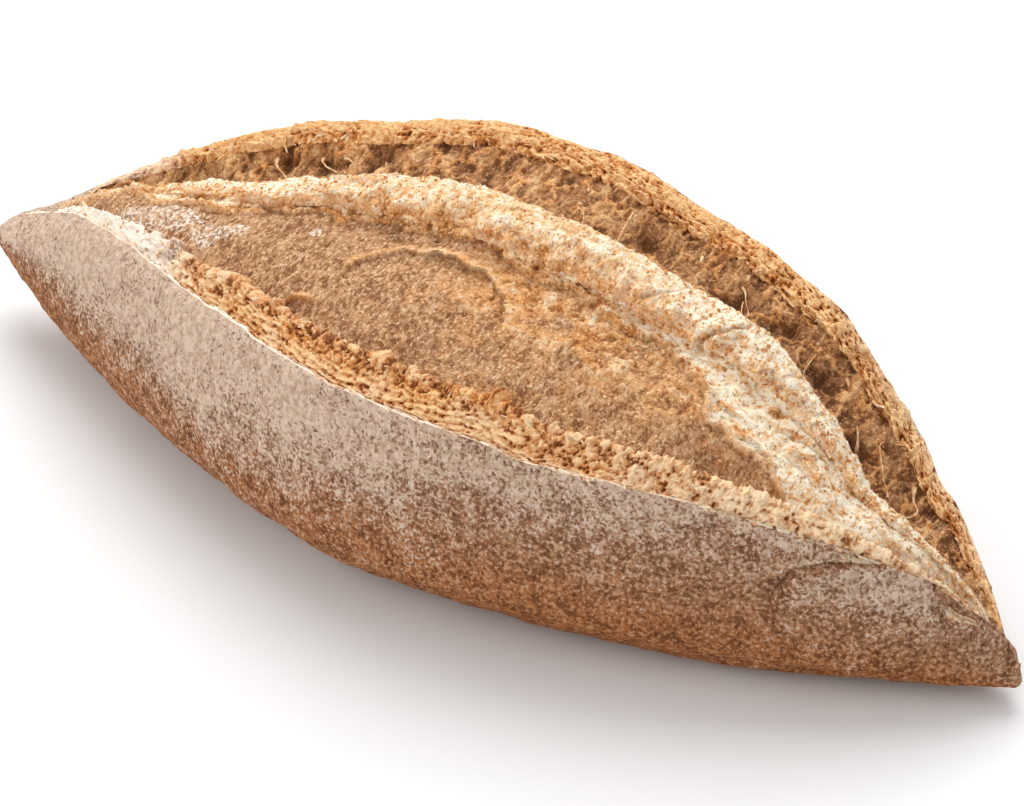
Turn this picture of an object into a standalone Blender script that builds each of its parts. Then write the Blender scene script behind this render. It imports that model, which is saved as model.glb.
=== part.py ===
"""A whole wheat bread loaf: a long pointed spindle whose one lengthwise cut has burst open in the oven.

Dimensions are in millimetres and become metres when the mesh is written. The loaf lies along X and rests
on Z = 0. Its cut leans towards +Y, so the near lip of the crust (-Y) is lower than the far lip (+Y).
"""
import bpy
import numpy as np

MM = 0.001
LENGTH = 300.0
HALF_LENGTH = LENGTH / 2

# Outer crust
BELLY_HALF_WIDTH = 59.6
BELLY_HEIGHT = 23.0
FOOT_SHARE = 0.42
FOOT_SHARE_GAIN = 0.04
LEFT_TIP_HEIGHT = 22.0
RIGHT_TIP_HEIGHT = 6.0
LEFT_NOSE_RADIUS = 7.9
RIGHT_NOSE_RADIUS = 4.3

# Edges of the cut
NEAR_LIP_HALF_WIDTH = 55.5
NEAR_LIP_HEIGHT = 58.0
FAR_LIP_HALF_WIDTH = 54.0
FAR_LIP_HEIGHT = 67.8

# Where each edge swells or sags: place as a share of the half length, width as one, and height
NEAR_LIP_SWELLS = ((-0.88, 0.09, -3.0), (-0.42, 0.10, -1.2), (0.0, 0.12, 0.7), (0.36, 0.08, -1.5), (0.76, 0.17, 1.1))
FAR_LIP_SWELLS = ((-0.40, 0.07, -1.0), (-0.165, 0.09, 1.4), (0.19, 0.09, -2.2), (0.49, 0.08, 2.8), (0.73, 0.03, -2.4))

# Raised crest of crumb between the two bursts
RIDGE_RISE = 22.5
RIDGE_LEAN = 6.0
VALLEY_DEPTH = 12.0
NEAR_BURST_DEPTH = 1.6

# Torn crust and folds
TORN_CREST_RISE = 2.2
RAGGED_DEPTH = 1.1
STRIATION_DEPTH = 0.7
LEDGE_HEIGHT = 2.4
FOLD_DEPTH = 1.3
LOBE_HEIGHT = 1.3
PIT_DEPTH = 3.4
FAR_PITS = (
    (-79, 27, 4, 3.0),
    (-66, 30, 7, 3.5),
    (-52, 33, 5, 3.0),
    (-30, 38, 8, 3.0),
    (23, 38, 6, 4.0),
    (50, 35, 6, 4.0),
    (64, 34, 5, 4.0),
    (79, 29, 5, 4.0),
    (93, 21, 4, 4.0),
)
TIP_NUB_HEIGHT = 1.4

# Mesh
STATIONS = 380
MOST_TRIANGLES = 11800
SEED = 41

CRUST_COLOUR = (0.36, 0.215, 0.115, 1.0)
CRUMB_COLOUR = (0.58, 0.36, 0.17, 1.0)


def spindle(t, reach, power, taper=1.0):
    """One at mid-length, falling to zero where |t| reaches the named reach."""
    return np.clip(1 - np.abs(t / reach) ** power, 0, 1) ** taper


def two_sided(t, left, right):
    """The left value for t below zero and the right value above it."""
    return np.where(t < 0, left, right)


def smooth(start, end, x):
    """Zero before the start, one after the end, an S-curve between."""
    s = np.clip((x - start) / (end - start), 0, 1)
    return s * s * (3 - 2 * s)


def bell(x, centre, half_width):
    """A smooth bump of height one."""
    return np.exp(-(((x - centre) / half_width) ** 2))


def tip_height(t):
    """Height of the tip on this side of mid-length."""
    return two_sided(t, LEFT_TIP_HEIGHT, RIGHT_TIP_HEIGHT)


def climb(t, crown, left, right):
    """Height that climbs from the tip to its crown; left and right give the spindle's power and taper."""
    share = two_sided(t, spindle(t, 1, *left), spindle(t, 1, *right))
    return tip_height(t) + (crown - tip_height(t)) * share


def swelling(t, swells):
    """Height added along an edge: one smooth bump or dip for each swell."""
    return sum(height * bell(t, centre, width) for centre, width, height in swells)


def belly_half(t):
    """Half the widest width: a spindle that ends in a round nose."""
    width = BELLY_HALF_WIDTH * two_sided(t, spindle(t, 1, 1.46), spindle(t, 1, 1.93))
    left_nose = LEFT_NOSE_RADIUS * np.sqrt(spindle(t, 1, 24))
    right_nose = RIGHT_NOSE_RADIUS * np.sqrt(spindle(t, 1, 40))
    return np.hypot(width, two_sided(t, left_nose, right_nose))


def belly_height(t):
    """Height of the widest line."""
    return climb(t, BELLY_HEIGHT, (5.1, 1), (2.45, 1))


def bottom_height(t):
    """Height of the underside, flat in the middle and lifting towards each tip."""
    left = np.clip((np.abs(t) - 0.40) / 0.60, 0, 1) ** 2.92
    right = np.clip((np.abs(t) - 0.578) / 0.422, 0, 1) ** 1.285
    return tip_height(t) * two_sided(t, left, right)


def near_lip(t):
    """The crisp cut edge of the crust on the near side, as (y, z)."""
    share = two_sided(t, spindle(t, 0.90, 1.31), spindle(t, 0.97, 2.44, 1.09))
    height = climb(t, NEAR_LIP_HEIGHT, (2.44, 0.69), (2.9, 0.63)) + swelling(t, NEAR_LIP_SWELLS)
    return -NEAR_LIP_HALF_WIDTH * share, height


def far_lip(t):
    """The torn outer edge of the crust on the far side, as (y, z)."""
    share = two_sided(t, spindle(t, 1, 1.72), spindle(t, 1, 2.63))
    height = climb(t, FAR_LIP_HEIGHT, (2.8, 1.21), (1.78, 1.045)) + swelling(t, FAR_LIP_SWELLS)
    return FAR_LIP_HALF_WIDTH * share, height


def ridge(t):
    """The crest of the burst crumb, as (y, z): high as far as a blunt shoulder, then a low strip to the tip."""
    swing = 7 * smooth(0.5, 0.8, t) * spindle(t, 1, 5)
    y = two_sided(t, RIDGE_LEAN * spindle(t, 1, 1.5), RIDGE_LEAN * spindle(t, 0.75, 2) - swing)
    right = 0.69 * spindle(t, 0.745, 5) + 0.31 * spindle(t, 1, 2)
    return y, near_lip(t)[1] + RIDGE_RISE * two_sided(t, spindle(t, 0.82, 1.6, 2.2), right)


def opening(t):
    """How far the cut is open: zero near the tips, one between."""
    return smooth(-0.93, -0.62, t) * (1 - smooth(0.72, 0.985, t))


def waves(x, wavelengths, seed):
    """Sines of the named wavelengths with seeded phases, added up and kept within -1 and 1."""
    draw = np.random.default_rng(seed)
    total = 0.0
    for wavelength in wavelengths:
        total = total + np.sin(2 * np.pi * x / wavelength + draw.uniform(0, 2 * np.pi))
    return total / len(wavelengths)


def lumps(x, y, size, seed, count=14):
    """Rounded lumps of the named size: plane waves in seeded directions, added up."""
    draw = np.random.default_rng(seed)
    total = 0.0
    for _ in range(count):
        turn, phase, scale = draw.uniform(0, np.pi), draw.uniform(0, 2 * np.pi), draw.uniform(0.75, 1.4)
        along = x * np.cos(turn) + y * np.sin(turn)
        total = total + np.sin(2 * np.pi * along / (size * scale) + phase)
    return total / np.sqrt(count)


# Rails across the burst. Each has its share of the way from the lip to the ridge across, its share of
# the way up, a rise of its own where the cut is open, and whether the surface has a corner there.
LIP_TO_RIDGE = (
    (0.00, 0.00, 0.0, True),
    (0.03, 0.02, -1.0, False),
    (0.08, 0.06, 0.6, False),
    (0.145, 0.12, TORN_CREST_RISE, True),
    (0.19, 0.14, -NEAR_BURST_DEPTH, False),
    (0.50, 0.36, 1.2, False),
    (0.80, 0.60, 0.0, False),
    (0.83, 0.74, 0.8, False),
    (0.90, 0.94, 0.6, False),
    (0.96, 1.00, 0.5, False),
    (1.00, 1.00, 0.0, False),
)
RIDGE_TO_FAR_LIP = (
    (0.06, 0.10, -2.0, False),
    (0.18, 0.30, -7.6, False),
    (0.36, 0.62, -VALLEY_DEPTH, False),
    (0.66, 0.80, -8.0, False),
    (0.84, 0.90, -4.0, True),
    (0.88, 0.95, -1.0, False),
    (1.00, 1.00, 0.0, True),
)
TOP_COUNTS = (3, 4, 5, 4, 14, 12, 4, 5, 4, 3, 4, 6, 8, 9, 7, 4, 7)
LOWER_COUNT, UPPER_COUNT, FOOT_COUNT = 9, 14, 8


def rails(t):
    """The rails of the burst at every station, as an array of rail, (y, z) and station."""
    (near_y, near_z), (far_y, far_z), (ridge_y, ridge_z) = near_lip(t), far_lip(t), ridge(t)
    x, gap = t * HALF_LENGTH, opening(t)
    found = []
    for across, up, rise, _ in LIP_TO_RIDGE:
        found.append((near_y + (ridge_y - near_y) * across, near_z + (ridge_z - near_z) * up + gap * rise))
    for across, up, rise, _ in RIDGE_TO_FAR_LIP:
        found.append((ridge_y + (far_y - ridge_y) * across, ridge_z + (far_z - ridge_z) * up + gap * rise))
    found = np.array(found)
    torn = np.zeros(len(found))
    torn[[1, 2, 3, 4, 14, 15, 16, 17]] = 0.3, 0.7, 1.0, 0.2, 0.4, 1.0, 0.8, 0.5
    for rail, share in enumerate(torn):
        ragged = waves(x, (23.0, 13.1, 9.3), SEED + rail // 4)
        found[rail, 1] += gap * share * RAGGED_DEPTH * ragged
        found[rail, 0] += gap * share * RAGGED_DEPTH * waves(x, (31.0, 17.0, 10.3), SEED + 9 + rail // 4)
    return found


def across_burst(t):
    """The burst surface: a cubic through the rails, with a one-sided slope at each corner."""
    points = rails(t)
    corners = [corner for *_, corner in LIP_TO_RIDGE + RIDGE_TO_FAR_LIP]
    last = len(points) - 1
    pieces = []
    for rail, count in enumerate(TOP_COUNTS):
        here, there = points[rail], points[rail + 1]
        step = there - here
        leaving = step if corners[rail] else (there - points[rail - 1]) / 2
        arriving = step if corners[rail + 1] or rail + 1 == last else (points[rail + 2] - here) / 2
        s = (np.arange(count) / count)[:, None, None]
        pieces.append(
            (2 * s**3 - 3 * s**2 + 1) * here
            + (s**3 - 2 * s**2 + s) * leaving
            + (3 * s**2 - 2 * s**3) * there
            + (s**3 - s**2) * arriving
        )
    return np.concatenate(pieces)


def quarter(count):
    """Sine and cosine over a quarter turn, as two columns."""
    angle = (np.arange(count) / count * np.pi / 2)[:, None]
    return np.sin(angle), np.cos(angle)


def open_section(t):
    """The cut loaf's outline at every station: foot, near side, burst, far side, and back under."""
    half, belly, under = belly_half(t), belly_height(t), bottom_height(t)
    foot = half * (FOOT_SHARE + FOOT_SHARE_GAIN * (2 * smooth(-0.5, 0.5, t) - 1))
    (near_y, near_z), (far_y, far_z) = near_lip(t), far_lip(t)
    low_sin, low_cos = quarter(LOWER_COUNT)
    up_sin, up_cos = quarter(UPPER_COUNT)
    run = (np.arange(FOOT_COUNT) / FOOT_COUNT)[:, None]
    return np.concatenate(
        [
            np.stack([-foot - (half - foot) * low_sin, under + (belly - under) * (1 - low_cos)], 1),
            np.stack([-half + (near_y + half) * (1 - up_cos), belly + (near_z - belly) * up_sin], 1),
            across_burst(t),
            np.stack([half + (far_y - half) * (1 - up_sin), belly + (far_z - belly) * up_cos], 1),
            np.stack([foot + (half - foot) * low_cos, under + (belly - under) * (1 - low_sin)], 1),
            np.stack([foot * (1 - 2 * run), under + 0 * run], 1),
        ]
    )


def closed_section(t):
    """The same outline with the top closed over as a rounded crust, as it is at the two tips."""
    outline = open_section(t)
    half, belly = belly_half(t), belly_height(t)
    crown = np.maximum(near_lip(t)[1], far_lip(t)[1])
    first = LOWER_COUNT
    last = LOWER_COUNT + 2 * UPPER_COUNT + sum(TOP_COUNTS)
    turn = (np.arange(last - first) / (last - first) * np.pi)[:, None]
    outline[first:last, 0] = -half * np.cos(turn)
    outline[first:last, 1] = belly + (crown - belly) * np.sin(turn)
    return outline


def outward(x, y, z):
    """Unit normals of the ring-by-station surface, pointing out of the loaf."""
    wrapped = [np.concatenate([a[-1:], a, a[:1]]) for a in (x, y, z)]
    round_ring = np.stack([a[2:] - a[:-2] for a in wrapped], -1)
    along = np.stack([np.gradient(a, axis=1) for a in (x, y, z)], -1)
    normal = np.cross(along, round_ring)
    return normal / np.maximum(np.linalg.norm(normal, axis=-1, keepdims=True), 1e-9)


def relief(x, y, z, ring, gap):
    """Height of what stands out of or sinks into the surface, along its normal."""
    lip_row = LOWER_COUNT + UPPER_COUNT
    crest_row = lip_row + sum(TOP_COUNTS[:3])
    ridge_row = lip_row + sum(TOP_COUNTS[:10])
    torn_row = lip_row + sum(TOP_COUNTS[:15])
    far_row = lip_row + sum(TOP_COUNTS)
    near_wall = ring <= lip_row
    far_wall = ring >= far_row
    near_torn = (ring > lip_row) & (ring <= crest_row + 1)
    burst = (ring > crest_row) & (ring < ridge_row)
    valley = (ring > ridge_row + 8) & (ring <= torn_row)
    far_torn = (ring > torn_row) & (ring < far_row)

    wall = near_wall | far_wall
    height = 0.35 * lumps(x, z, 26, SEED + 1) * wall * smooth(1, 12, z)
    height = height + STRIATION_DEPTH * gap * near_torn * lumps(x / 3, y, 4.2, SEED + 2)
    height = height + STRIATION_DEPTH * gap * far_torn * lumps(x / 3, y, 4.6, SEED + 3)
    height = height + 0.55 * gap * burst * lumps(x, y, 9, SEED + 4) * (0.5 + smooth(-10, 40, x))
    height = height + 0.6 * gap * valley * lumps(x, y, 10, SEED + 5)

    # A flap of skin curls up in the middle of the near burst, above a shallow bowl.
    reach = np.hypot((x - 2) / 23, (y + 27) / 16)
    arc = smooth(-30, -21, y)
    height = height + burst * arc * LEDGE_HEIGHT * (bell(reach, 1.03, 0.07) + 0.45 * bell(reach, 1.16, 0.16))
    height = height - burst * 1.2 * bell(reach, 0.80, 0.20) * arc
    # The crumb sinks behind the torn crust at the right end of the burst.
    height = height - burst * 2.0 * bell(x, 92, 11) * bell(y, -23, 4.5)

    # Cracks run across the ridge.
    for crack_x, slant, depth in ((-6, 0.5, 1.1), (39, 0.6, 1.0), (66, 0.9, 1.5), (88, 0.8, 1.2)):
        line = x - crack_x - slant * y
        height = height - depth * bell(line, 0, 1.6) * bell(y, -2, 8) * (np.abs(ring - ridge_row) < 14) * gap

    # Pits under the torn edge of the far side, where webs of crust tore away: place, half length, half width.
    for pit_x, pit_y, long, wide in FAR_PITS:
        height = height - PIT_DEPTH * gap * valley * bell(x, pit_x, long) * bell(y, pit_y, wide)

    # The dough was folded over at the left end, and tucked round into a lobe at the right end.
    crease = x + 110 - 0.45 * (44 - z) + 6 * (y > 0)
    height = height - FOLD_DEPTH * wall * (0.7 * bell(crease, 0, 2.6) - 0.5 * bell(crease, 9, 8)) * smooth(5, 14, z)
    lobe = np.hypot((x - 119) / 16, (z - 24) / 14)
    height = height + LOBE_HEIGHT * wall * (1 - smooth(0.92, 1.12, lobe)) * smooth(2, 14, z)
    height = height + TIP_NUB_HEIGHT * bell(x, 147.6, 1.8) * bell(y, -2, 2.5) * bell(z, 10, 2.2)
    return height


def station_places():
    """Places from tip to tip, as shares of the half length, closer together near the tips."""
    s = np.linspace(-1, 1, STATIONS + 2)
    return (0.66 * s + 0.34 * np.sin(np.pi / 2 * s))[1:-1]


def surface():
    """Points of the crust, as arrays of ring place by station."""
    t = station_places()
    closing = 1 - smooth(-0.985, -0.86, t) * (1 - smooth(0.93, 0.995, t))
    outline = open_section(t) * (1 - closing) + closed_section(t) * closing
    y, z = outline[:, 0], outline[:, 1]
    x = np.broadcast_to(t * HALF_LENGTH, y.shape)
    ring = np.arange(len(y))[:, None] + 0 * x
    gap = opening(t) * (1 - closing)
    height = relief(x, y, z, ring, gap) * (1 - smooth(0.975, 1.0, np.abs(t)))
    foot = (z <= bottom_height(t) + 1e-6) & (np.abs(t) < 0.55)
    height = np.where(foot, 0, height)
    normal = outward(x, y, z)
    moved = np.stack([x, y, z], -1) + normal * height[..., None]
    moved[..., 2] = np.maximum(moved[..., 2], 0)
    return moved


def build_loaf(collection):
    """Joins the rings into one closed body, with a point at each tip, and thins it to its triangle count."""
    points = surface()
    rows, stations = points.shape[:2]
    left_tip = (-HALF_LENGTH, 0, LEFT_TIP_HEIGHT)
    right_tip = (HALF_LENGTH, 0, RIGHT_TIP_HEIGHT)
    corners = np.concatenate([points.reshape(-1, 3), (left_tip, right_tip)]) * MM
    index = np.arange(rows * stations).reshape(rows, stations)
    after = np.roll(index, -1, 0)
    quads = np.stack([index[:, :-1], index[:, 1:], after[:, 1:], after[:, :-1]], -1).reshape(-1, 4)
    left_fan = np.stack([np.full(rows, rows * stations), index[:, 0], after[:, 0]], -1)
    right_fan = np.stack([np.full(rows, rows * stations + 1), after[:, -1], index[:, -1]], -1)
    mesh = bpy.data.meshes.new("loaf")
    mesh.from_pydata(corners.tolist(), [], quads.tolist() + left_fan.tolist() + right_fan.tolist())
    mesh.update()

    loaf = bpy.data.objects.new("loaf", mesh)
    collection.objects.link(loaf)
    thin = loaf.modifiers.new("thin", "DECIMATE")
    thin.ratio = MOST_TRIANGLES / (2 * len(quads) + 2 * rows)
    return loaf


def material(name, colour, roughness):
    """A Principled material of one colour."""
    made = bpy.data.materials.new(name)
    made.use_nodes = True
    shader = made.node_tree.nodes["Principled BSDF"]
    shader.inputs["Base Color"].default_value = colour
    shader.inputs["Roughness"].default_value = roughness
    shader.inputs["Metallic"].default_value = 0.0
    made.diffuse_color = colour
    return made


def main():
    for old in list(bpy.data.objects):
        bpy.data.objects.remove(old, do_unlink=True)
    collection = bpy.data.collections.new("whole_wheat_bread_loaf")
    bpy.context.scene.collection.children.link(collection)
    loaf = build_loaf(collection)
    loaf.data.materials.append(material("baked_crust", CRUST_COLOUR, 0.85))
    loaf.data.shade_smooth()


main()
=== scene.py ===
"""A whole wheat bread loaf with one burst cut, dressed over its plain solid.

Sizes are in millimetres until a mesh is written, which turns them into metres. The loaf lies along X, its
near side faces -Y, and it rests on Z = 0. A place along the loaf is t, from -1 at the left tip to 1.
"""

import bpy
import numpy as np
from mathutils import Matrix


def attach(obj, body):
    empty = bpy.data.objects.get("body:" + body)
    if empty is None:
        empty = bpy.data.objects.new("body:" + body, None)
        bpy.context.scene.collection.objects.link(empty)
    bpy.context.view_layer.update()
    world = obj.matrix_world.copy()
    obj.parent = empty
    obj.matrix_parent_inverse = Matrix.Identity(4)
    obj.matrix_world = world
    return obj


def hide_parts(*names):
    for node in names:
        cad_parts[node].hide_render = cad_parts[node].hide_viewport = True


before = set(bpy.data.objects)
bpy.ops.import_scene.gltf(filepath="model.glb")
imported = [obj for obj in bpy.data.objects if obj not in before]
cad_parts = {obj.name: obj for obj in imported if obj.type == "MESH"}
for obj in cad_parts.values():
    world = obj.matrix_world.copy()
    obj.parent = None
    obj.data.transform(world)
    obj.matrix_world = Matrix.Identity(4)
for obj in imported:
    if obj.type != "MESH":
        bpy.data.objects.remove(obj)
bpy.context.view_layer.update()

# ----------------------------------------------------------------------------
# The crust: dough rolled to a spindle with two pointed tips, dusted with flour and baked on its flat
# underside. It's one closed skin, grey-beige where flour lies and brown where it doesn't, and it runs on
# below the burst crumb, which is laid over it further down.
MM = 0.001
HALF_LENGTH = 150.0
BELLY_HALF_WIDTH, BELLY_HEIGHT = 59.6, 23.0
FOOT_SHARE, FOOT_SHARE_GAIN = 0.42, 0.04
LEFT_TIP_HEIGHT, RIGHT_TIP_HEIGHT = 22.0, 6.0
LEFT_NOSE_RADIUS, RIGHT_NOSE_RADIUS = 7.9, 4.3
NEAR_LIP_HALF_WIDTH, NEAR_LIP_HEIGHT = 55.5, 58.0
FAR_LIP_HALF_WIDTH, FAR_LIP_HEIGHT = 54.0, 67.8
# Where each edge swells or sags: place, width and height
NEAR_LIP_SWELLS = (
    (-0.88, 0.09, -3.0), (-0.42, 0.10, -1.2), (0.0, 0.12, 0.7), (0.36, 0.08, -1.5), (0.76, 0.17, 1.1)
)
FAR_LIP_SWELLS = (
    (-0.40, 0.07, -1.0), (-0.165, 0.09, 1.4), (0.19, 0.09, -2.2), (0.49, 0.08, 2.8), (0.73, 0.03, -2.4)
)
RIDGE_RISE, RIDGE_LEAN, RIDGE_SWING = 22.5, 6.0, 7.0
VALLEY_DEPTH, NEAR_BURST_DEPTH, TORN_CREST_RISE = 12.0, 1.6, 2.2
CRUST_STATIONS = 425
LOW_ROWS, WALL_ROWS, HIDDEN_ROWS, FAR_WALL_ROWS, FAR_LOW_ROWS, FOOT_ROWS = 40, 96, 12, 50, 26, 6
RELIEF_FADE_ROWS = 5
SINK_UNDER_CRUMB = 6.0
# The fold near the left tip and the tucked lobe near the right one, as (x, z), and the pinched tip
FOLD_PLACE, FOLD_SLANT, FOLD_DEPTH, FOLD_STEP = (-110, 44), 0.45, 1.3, 6
LOBE_PLACE, LOBE_HALF_SIZE, LOBE_HEIGHT = (119, 24), (16, 14), 1.8
PINCH_PLACE, PINCH_RADIUS = (148.5, -1.5, 10.0), 3.0
SEED = 41


def spindle(t, reach, power, taper=1.0):
    """(1 - |t / reach|^power)^taper, and zero past the reach."""
    return np.clip(1 - np.abs(t / reach) ** power, 0, 1) ** taper


def two_sided(t, left, right):
    """The left value where t is below zero, else the right one."""
    return np.where(t < 0, left, right)


def smooth(start, end, x):
    """s^2 (3 - 2 s), with s the share of the way from start to end."""
    s = np.clip((x - start) / (end - start), 0, 1)
    return s * s * (3 - 2 * s)


def bell(x, centre, half_width):
    """exp(-((x - centre) / half_width)^2)."""
    return np.exp(-(((x - centre) / half_width) ** 2))


def away(across, up, place, half_size):
    """Root of the squares of the two distances from a place, each in half-sizes: 1 on its ellipse."""
    return np.hypot((across - place[0]) / half_size[0], (up - place[1]) / half_size[1])


def climb(t, crown, left, right):
    """The tip's height plus the rest of the way to the crown times a spindle."""
    tip = two_sided(t, LEFT_TIP_HEIGHT, RIGHT_TIP_HEIGHT)
    return tip + (crown - tip) * two_sided(t, spindle(t, 1, *left), spindle(t, 1, *right))


def swelling(t, swells):
    """The sum of one bell for each swell."""
    return sum(height * bell(t, centre, width) for centre, width, height in swells)


def belly_half(t):
    """Root of the squares of a spindle and a round nose."""
    width = BELLY_HALF_WIDTH * two_sided(t, spindle(t, 1, 1.46), spindle(t, 1, 1.93))
    left_nose = LEFT_NOSE_RADIUS * np.sqrt(spindle(t, 1, 24))
    right_nose = RIGHT_NOSE_RADIUS * np.sqrt(spindle(t, 1, 40))
    return np.hypot(width, two_sided(t, left_nose, right_nose))


def belly_height(t):
    """Height of the widest line, a climb from each tip."""
    return climb(t, BELLY_HEIGHT, (5.1, 1), (2.45, 1))


def bottom_height(t):
    """Zero in the middle, then a power of the distance towards each tip."""
    left = np.clip((np.abs(t) - 0.40) / 0.60, 0, 1) ** 2.92
    right = np.clip((np.abs(t) - 0.578) / 0.422, 0, 1) ** 1.285
    return two_sided(t, LEFT_TIP_HEIGHT * left, RIGHT_TIP_HEIGHT * right)


def near_lip(t):
    """The crisp cut edge, as (y, z), each a spindle, with swells."""
    share = two_sided(t, spindle(t, 0.90, 1.31), spindle(t, 0.97, 2.44, 1.09))
    height = climb(t, NEAR_LIP_HEIGHT, (2.44, 0.69), (2.9, 0.63)) + swelling(t, NEAR_LIP_SWELLS)
    return -NEAR_LIP_HALF_WIDTH * share, height


def far_lip(t):
    """The outer torn edge on the far side, as (y, z), each a spindle, with swells."""
    share = two_sided(t, spindle(t, 1, 1.72), spindle(t, 1, 2.63))
    height = climb(t, FAR_LIP_HEIGHT, (2.8, 1.21), (1.78, 1.045)) + swelling(t, FAR_LIP_SWELLS)
    return FAR_LIP_HALF_WIDTH * share, height


def ridge_line(t):
    """The crumb's crest: the near lip's height plus two spindles, one blunt and one as long as the loaf."""
    swing = RIDGE_SWING * smooth(0.5, 0.8, t) * spindle(t, 1, 5)
    y = two_sided(t, RIDGE_LEAN * spindle(t, 1, 1.5), RIDGE_LEAN * spindle(t, 0.75, 2) - swing)
    right = 0.69 * spindle(t, 0.745, 5) + 0.31 * spindle(t, 1, 2)
    return y, near_lip(t)[1] + RIDGE_RISE * two_sided(t, spindle(t, 0.82, 1.6, 2.2), right)


def opening(t):
    """How far the cut is open: an S-curve up from the left tip times one down to the right tip."""
    return smooth(-0.93, -0.62, t) * (1 - smooth(0.72, 0.985, t))


# Rails of the burst, from the lip to the ridge (0) and from the ridge to the far lip (1): the share of the
# way across, the share of the way up, the rise, and whether it's a corner
RAILS = (
    (0, 0.00, 0.00, 0.0, True),
    (0, 0.03, 0.02, -1.0, False),
    (0, 0.08, 0.06, 0.6, False),
    (0, 0.145, 0.12, TORN_CREST_RISE, True),
    (0, 0.19, 0.14, -NEAR_BURST_DEPTH, False),
    (0, 0.50, 0.36, 1.2, False),
    (0, 0.80, 0.60, 0.0, False),
    (0, 0.83, 0.74, 0.8, False),
    (0, 0.90, 0.94, 0.6, False),
    (0, 0.96, 1.00, 0.5, False),
    (0, 1.00, 1.00, 0.0, False),
    (1, 0.06, 0.10, -2.0, False),
    (1, 0.18, 0.30, -7.6, False),
    (1, 0.36, 0.62, -VALLEY_DEPTH, False),
    (1, 0.66, 0.80, -8.0, False),
    (1, 0.84, 0.90, -4.0, True),
    (1, 0.88, 0.95, -1.0, False),
    (1, 1.00, 1.00, 0.0, True),
)
LIP, CREST, NEAR_FOOT, RIDGE_FOOT, RIDGE_BACK, FAR_TORN, FAR_LIP = 0, 3, 4, 6.5, 12, 15, 17


def rail_lines(t):
    """Each rail as (y, z): a share of the way between the lip, the ridge and the far lip, plus its rise."""
    near, crest, far = np.array(near_lip(t)), np.array(ridge_line(t)), np.array(far_lip(t))
    lines = []
    for side, across, up, rise, _ in RAILS:
        start, end = (crest, far) if side else (near, crest)
        y = start[0] + (end[0] - start[0]) * across
        z = start[1] + (end[1] - start[1]) * up + opening(t) * rise
        lines.append((y, z))
    return np.array(lines)


def burst_profile(rail, t):
    """(y, z) at each fractional rail and place: a cubic between rails, with one-sided slopes at corners."""
    lines = rail_lines(t)
    steps = np.diff(lines, axis=0)
    middle = np.concatenate([steps[:1], (steps[1:] + steps[:-1]) / 2, steps[-1:]])
    corner = np.array([rule[4] for rule in RAILS])[:, None, None]
    leaving = np.where(corner, np.concatenate([steps, steps[-1:]]), middle)
    arriving = np.where(corner, np.concatenate([steps[:1], steps]), middle)
    k = np.clip(np.floor(rail).astype(int), 0, len(RAILS) - 2)
    s = (rail - k)[:, None, None]
    return (
        (2 * s**3 - 3 * s**2 + 1) * lines[k]
        + (s**3 - 2 * s**2 + s) * leaving[k]
        + (3 * s**2 - 2 * s**3) * lines[k + 1]
        + (s**3 - s**2) * arriving[k + 1]
    )


def random_at(cell, seed):
    """A number from 0 to 1 for each whole-number cell, from a multiply-and-shift hash."""
    mixed = (cell[..., 0] * 73856093) ^ (cell[..., 1] * 19349663) ^ (cell[..., 2] * 83492791)
    mixed = (mixed ^ (seed * 668265263)) & 0xFFFFFFFF
    mixed = ((mixed ^ (mixed >> 15)) * 2246822519) & 0xFFFFFFFF
    mixed = ((mixed ^ (mixed >> 13)) * 3266489917) & 0xFFFFFFFF
    return ((mixed ^ (mixed >> 16)) & 0xFFFFFF) / 0xFFFFFF


def drift(points, size, seed):
    """Noise from -1 to 1: random values on a lattice of this size, blended by 6s^5 - 15s^4 + 10s^3."""
    scaled = points / np.asarray(size, float)
    cell = np.floor(scaled).astype(np.int64)
    s = scaled - cell
    s = s**3 * (s * (s * 6 - 15) + 10)
    total = 0.0
    for step in np.ndindex(2, 2, 2):
        weight = np.prod(np.where(step, s, 1 - s), axis=-1)
        total = total + weight * random_at(cell + np.array(step), seed)
    return 2 * total - 1


def rough(points, size, seed, octaves=4, gain=0.55):
    """Drift at this size, at half of it, and so on, each weaker by the gain."""
    size = np.asarray(size, float)
    total, weight, whole = 0.0, 1.0, 0.0
    for octave in range(octaves):
        total = total + weight * drift(points, size / 2**octave, seed + octave)
        whole, weight = whole + weight, weight * gain
    return total / whole * 1.6


def holes(points, size, seed):
    """Distance to the nearest of the points strewn one to a cell, in cells: zero at each hole's middle."""
    scaled = points / np.asarray(size, float)
    cell = np.floor(scaled).astype(np.int64)
    nearest = np.full(points.shape[:-1], 9.0)
    for step in np.ndindex(3, 3, 3):
        other = cell + np.array(step) - 1
        place = np.stack([random_at(other, seed + axis) for axis in range(3)], -1)
        nearest = np.minimum(nearest, np.sum((other + place - scaled) ** 2, -1))
    return np.sqrt(nearest)


def unit(vectors):
    """Each vector divided by its length."""
    return vectors / np.maximum(np.linalg.norm(vectors, axis=-1, keepdims=True), 1e-9)


def outward(grid, closed_ring=False):
    """Unit normals: the cross product of the steps along and across the grid."""
    if closed_ring:
        wrapped = np.concatenate([grid[-1:], grid, grid[:1]])
        across = wrapped[2:] - wrapped[:-2]
    else:
        across = np.gradient(grid, axis=0)
    return unit(np.cross(np.gradient(grid, axis=1), across))


def uneven(points):
    """Points moved in y and z by drift over 7 mm and 2.5 mm, less and less towards the floor."""
    hold = smooth(0.5, 6, points[..., 2])
    moved = points.copy()
    for axis in (1, 2):
        sway = 0.40 * drift(points, 7, SEED + 200 + axis) + 0.16 * drift(points, 2.5, SEED + 210 + axis)
        moved[..., axis] += hold * sway
    return moved


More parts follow.
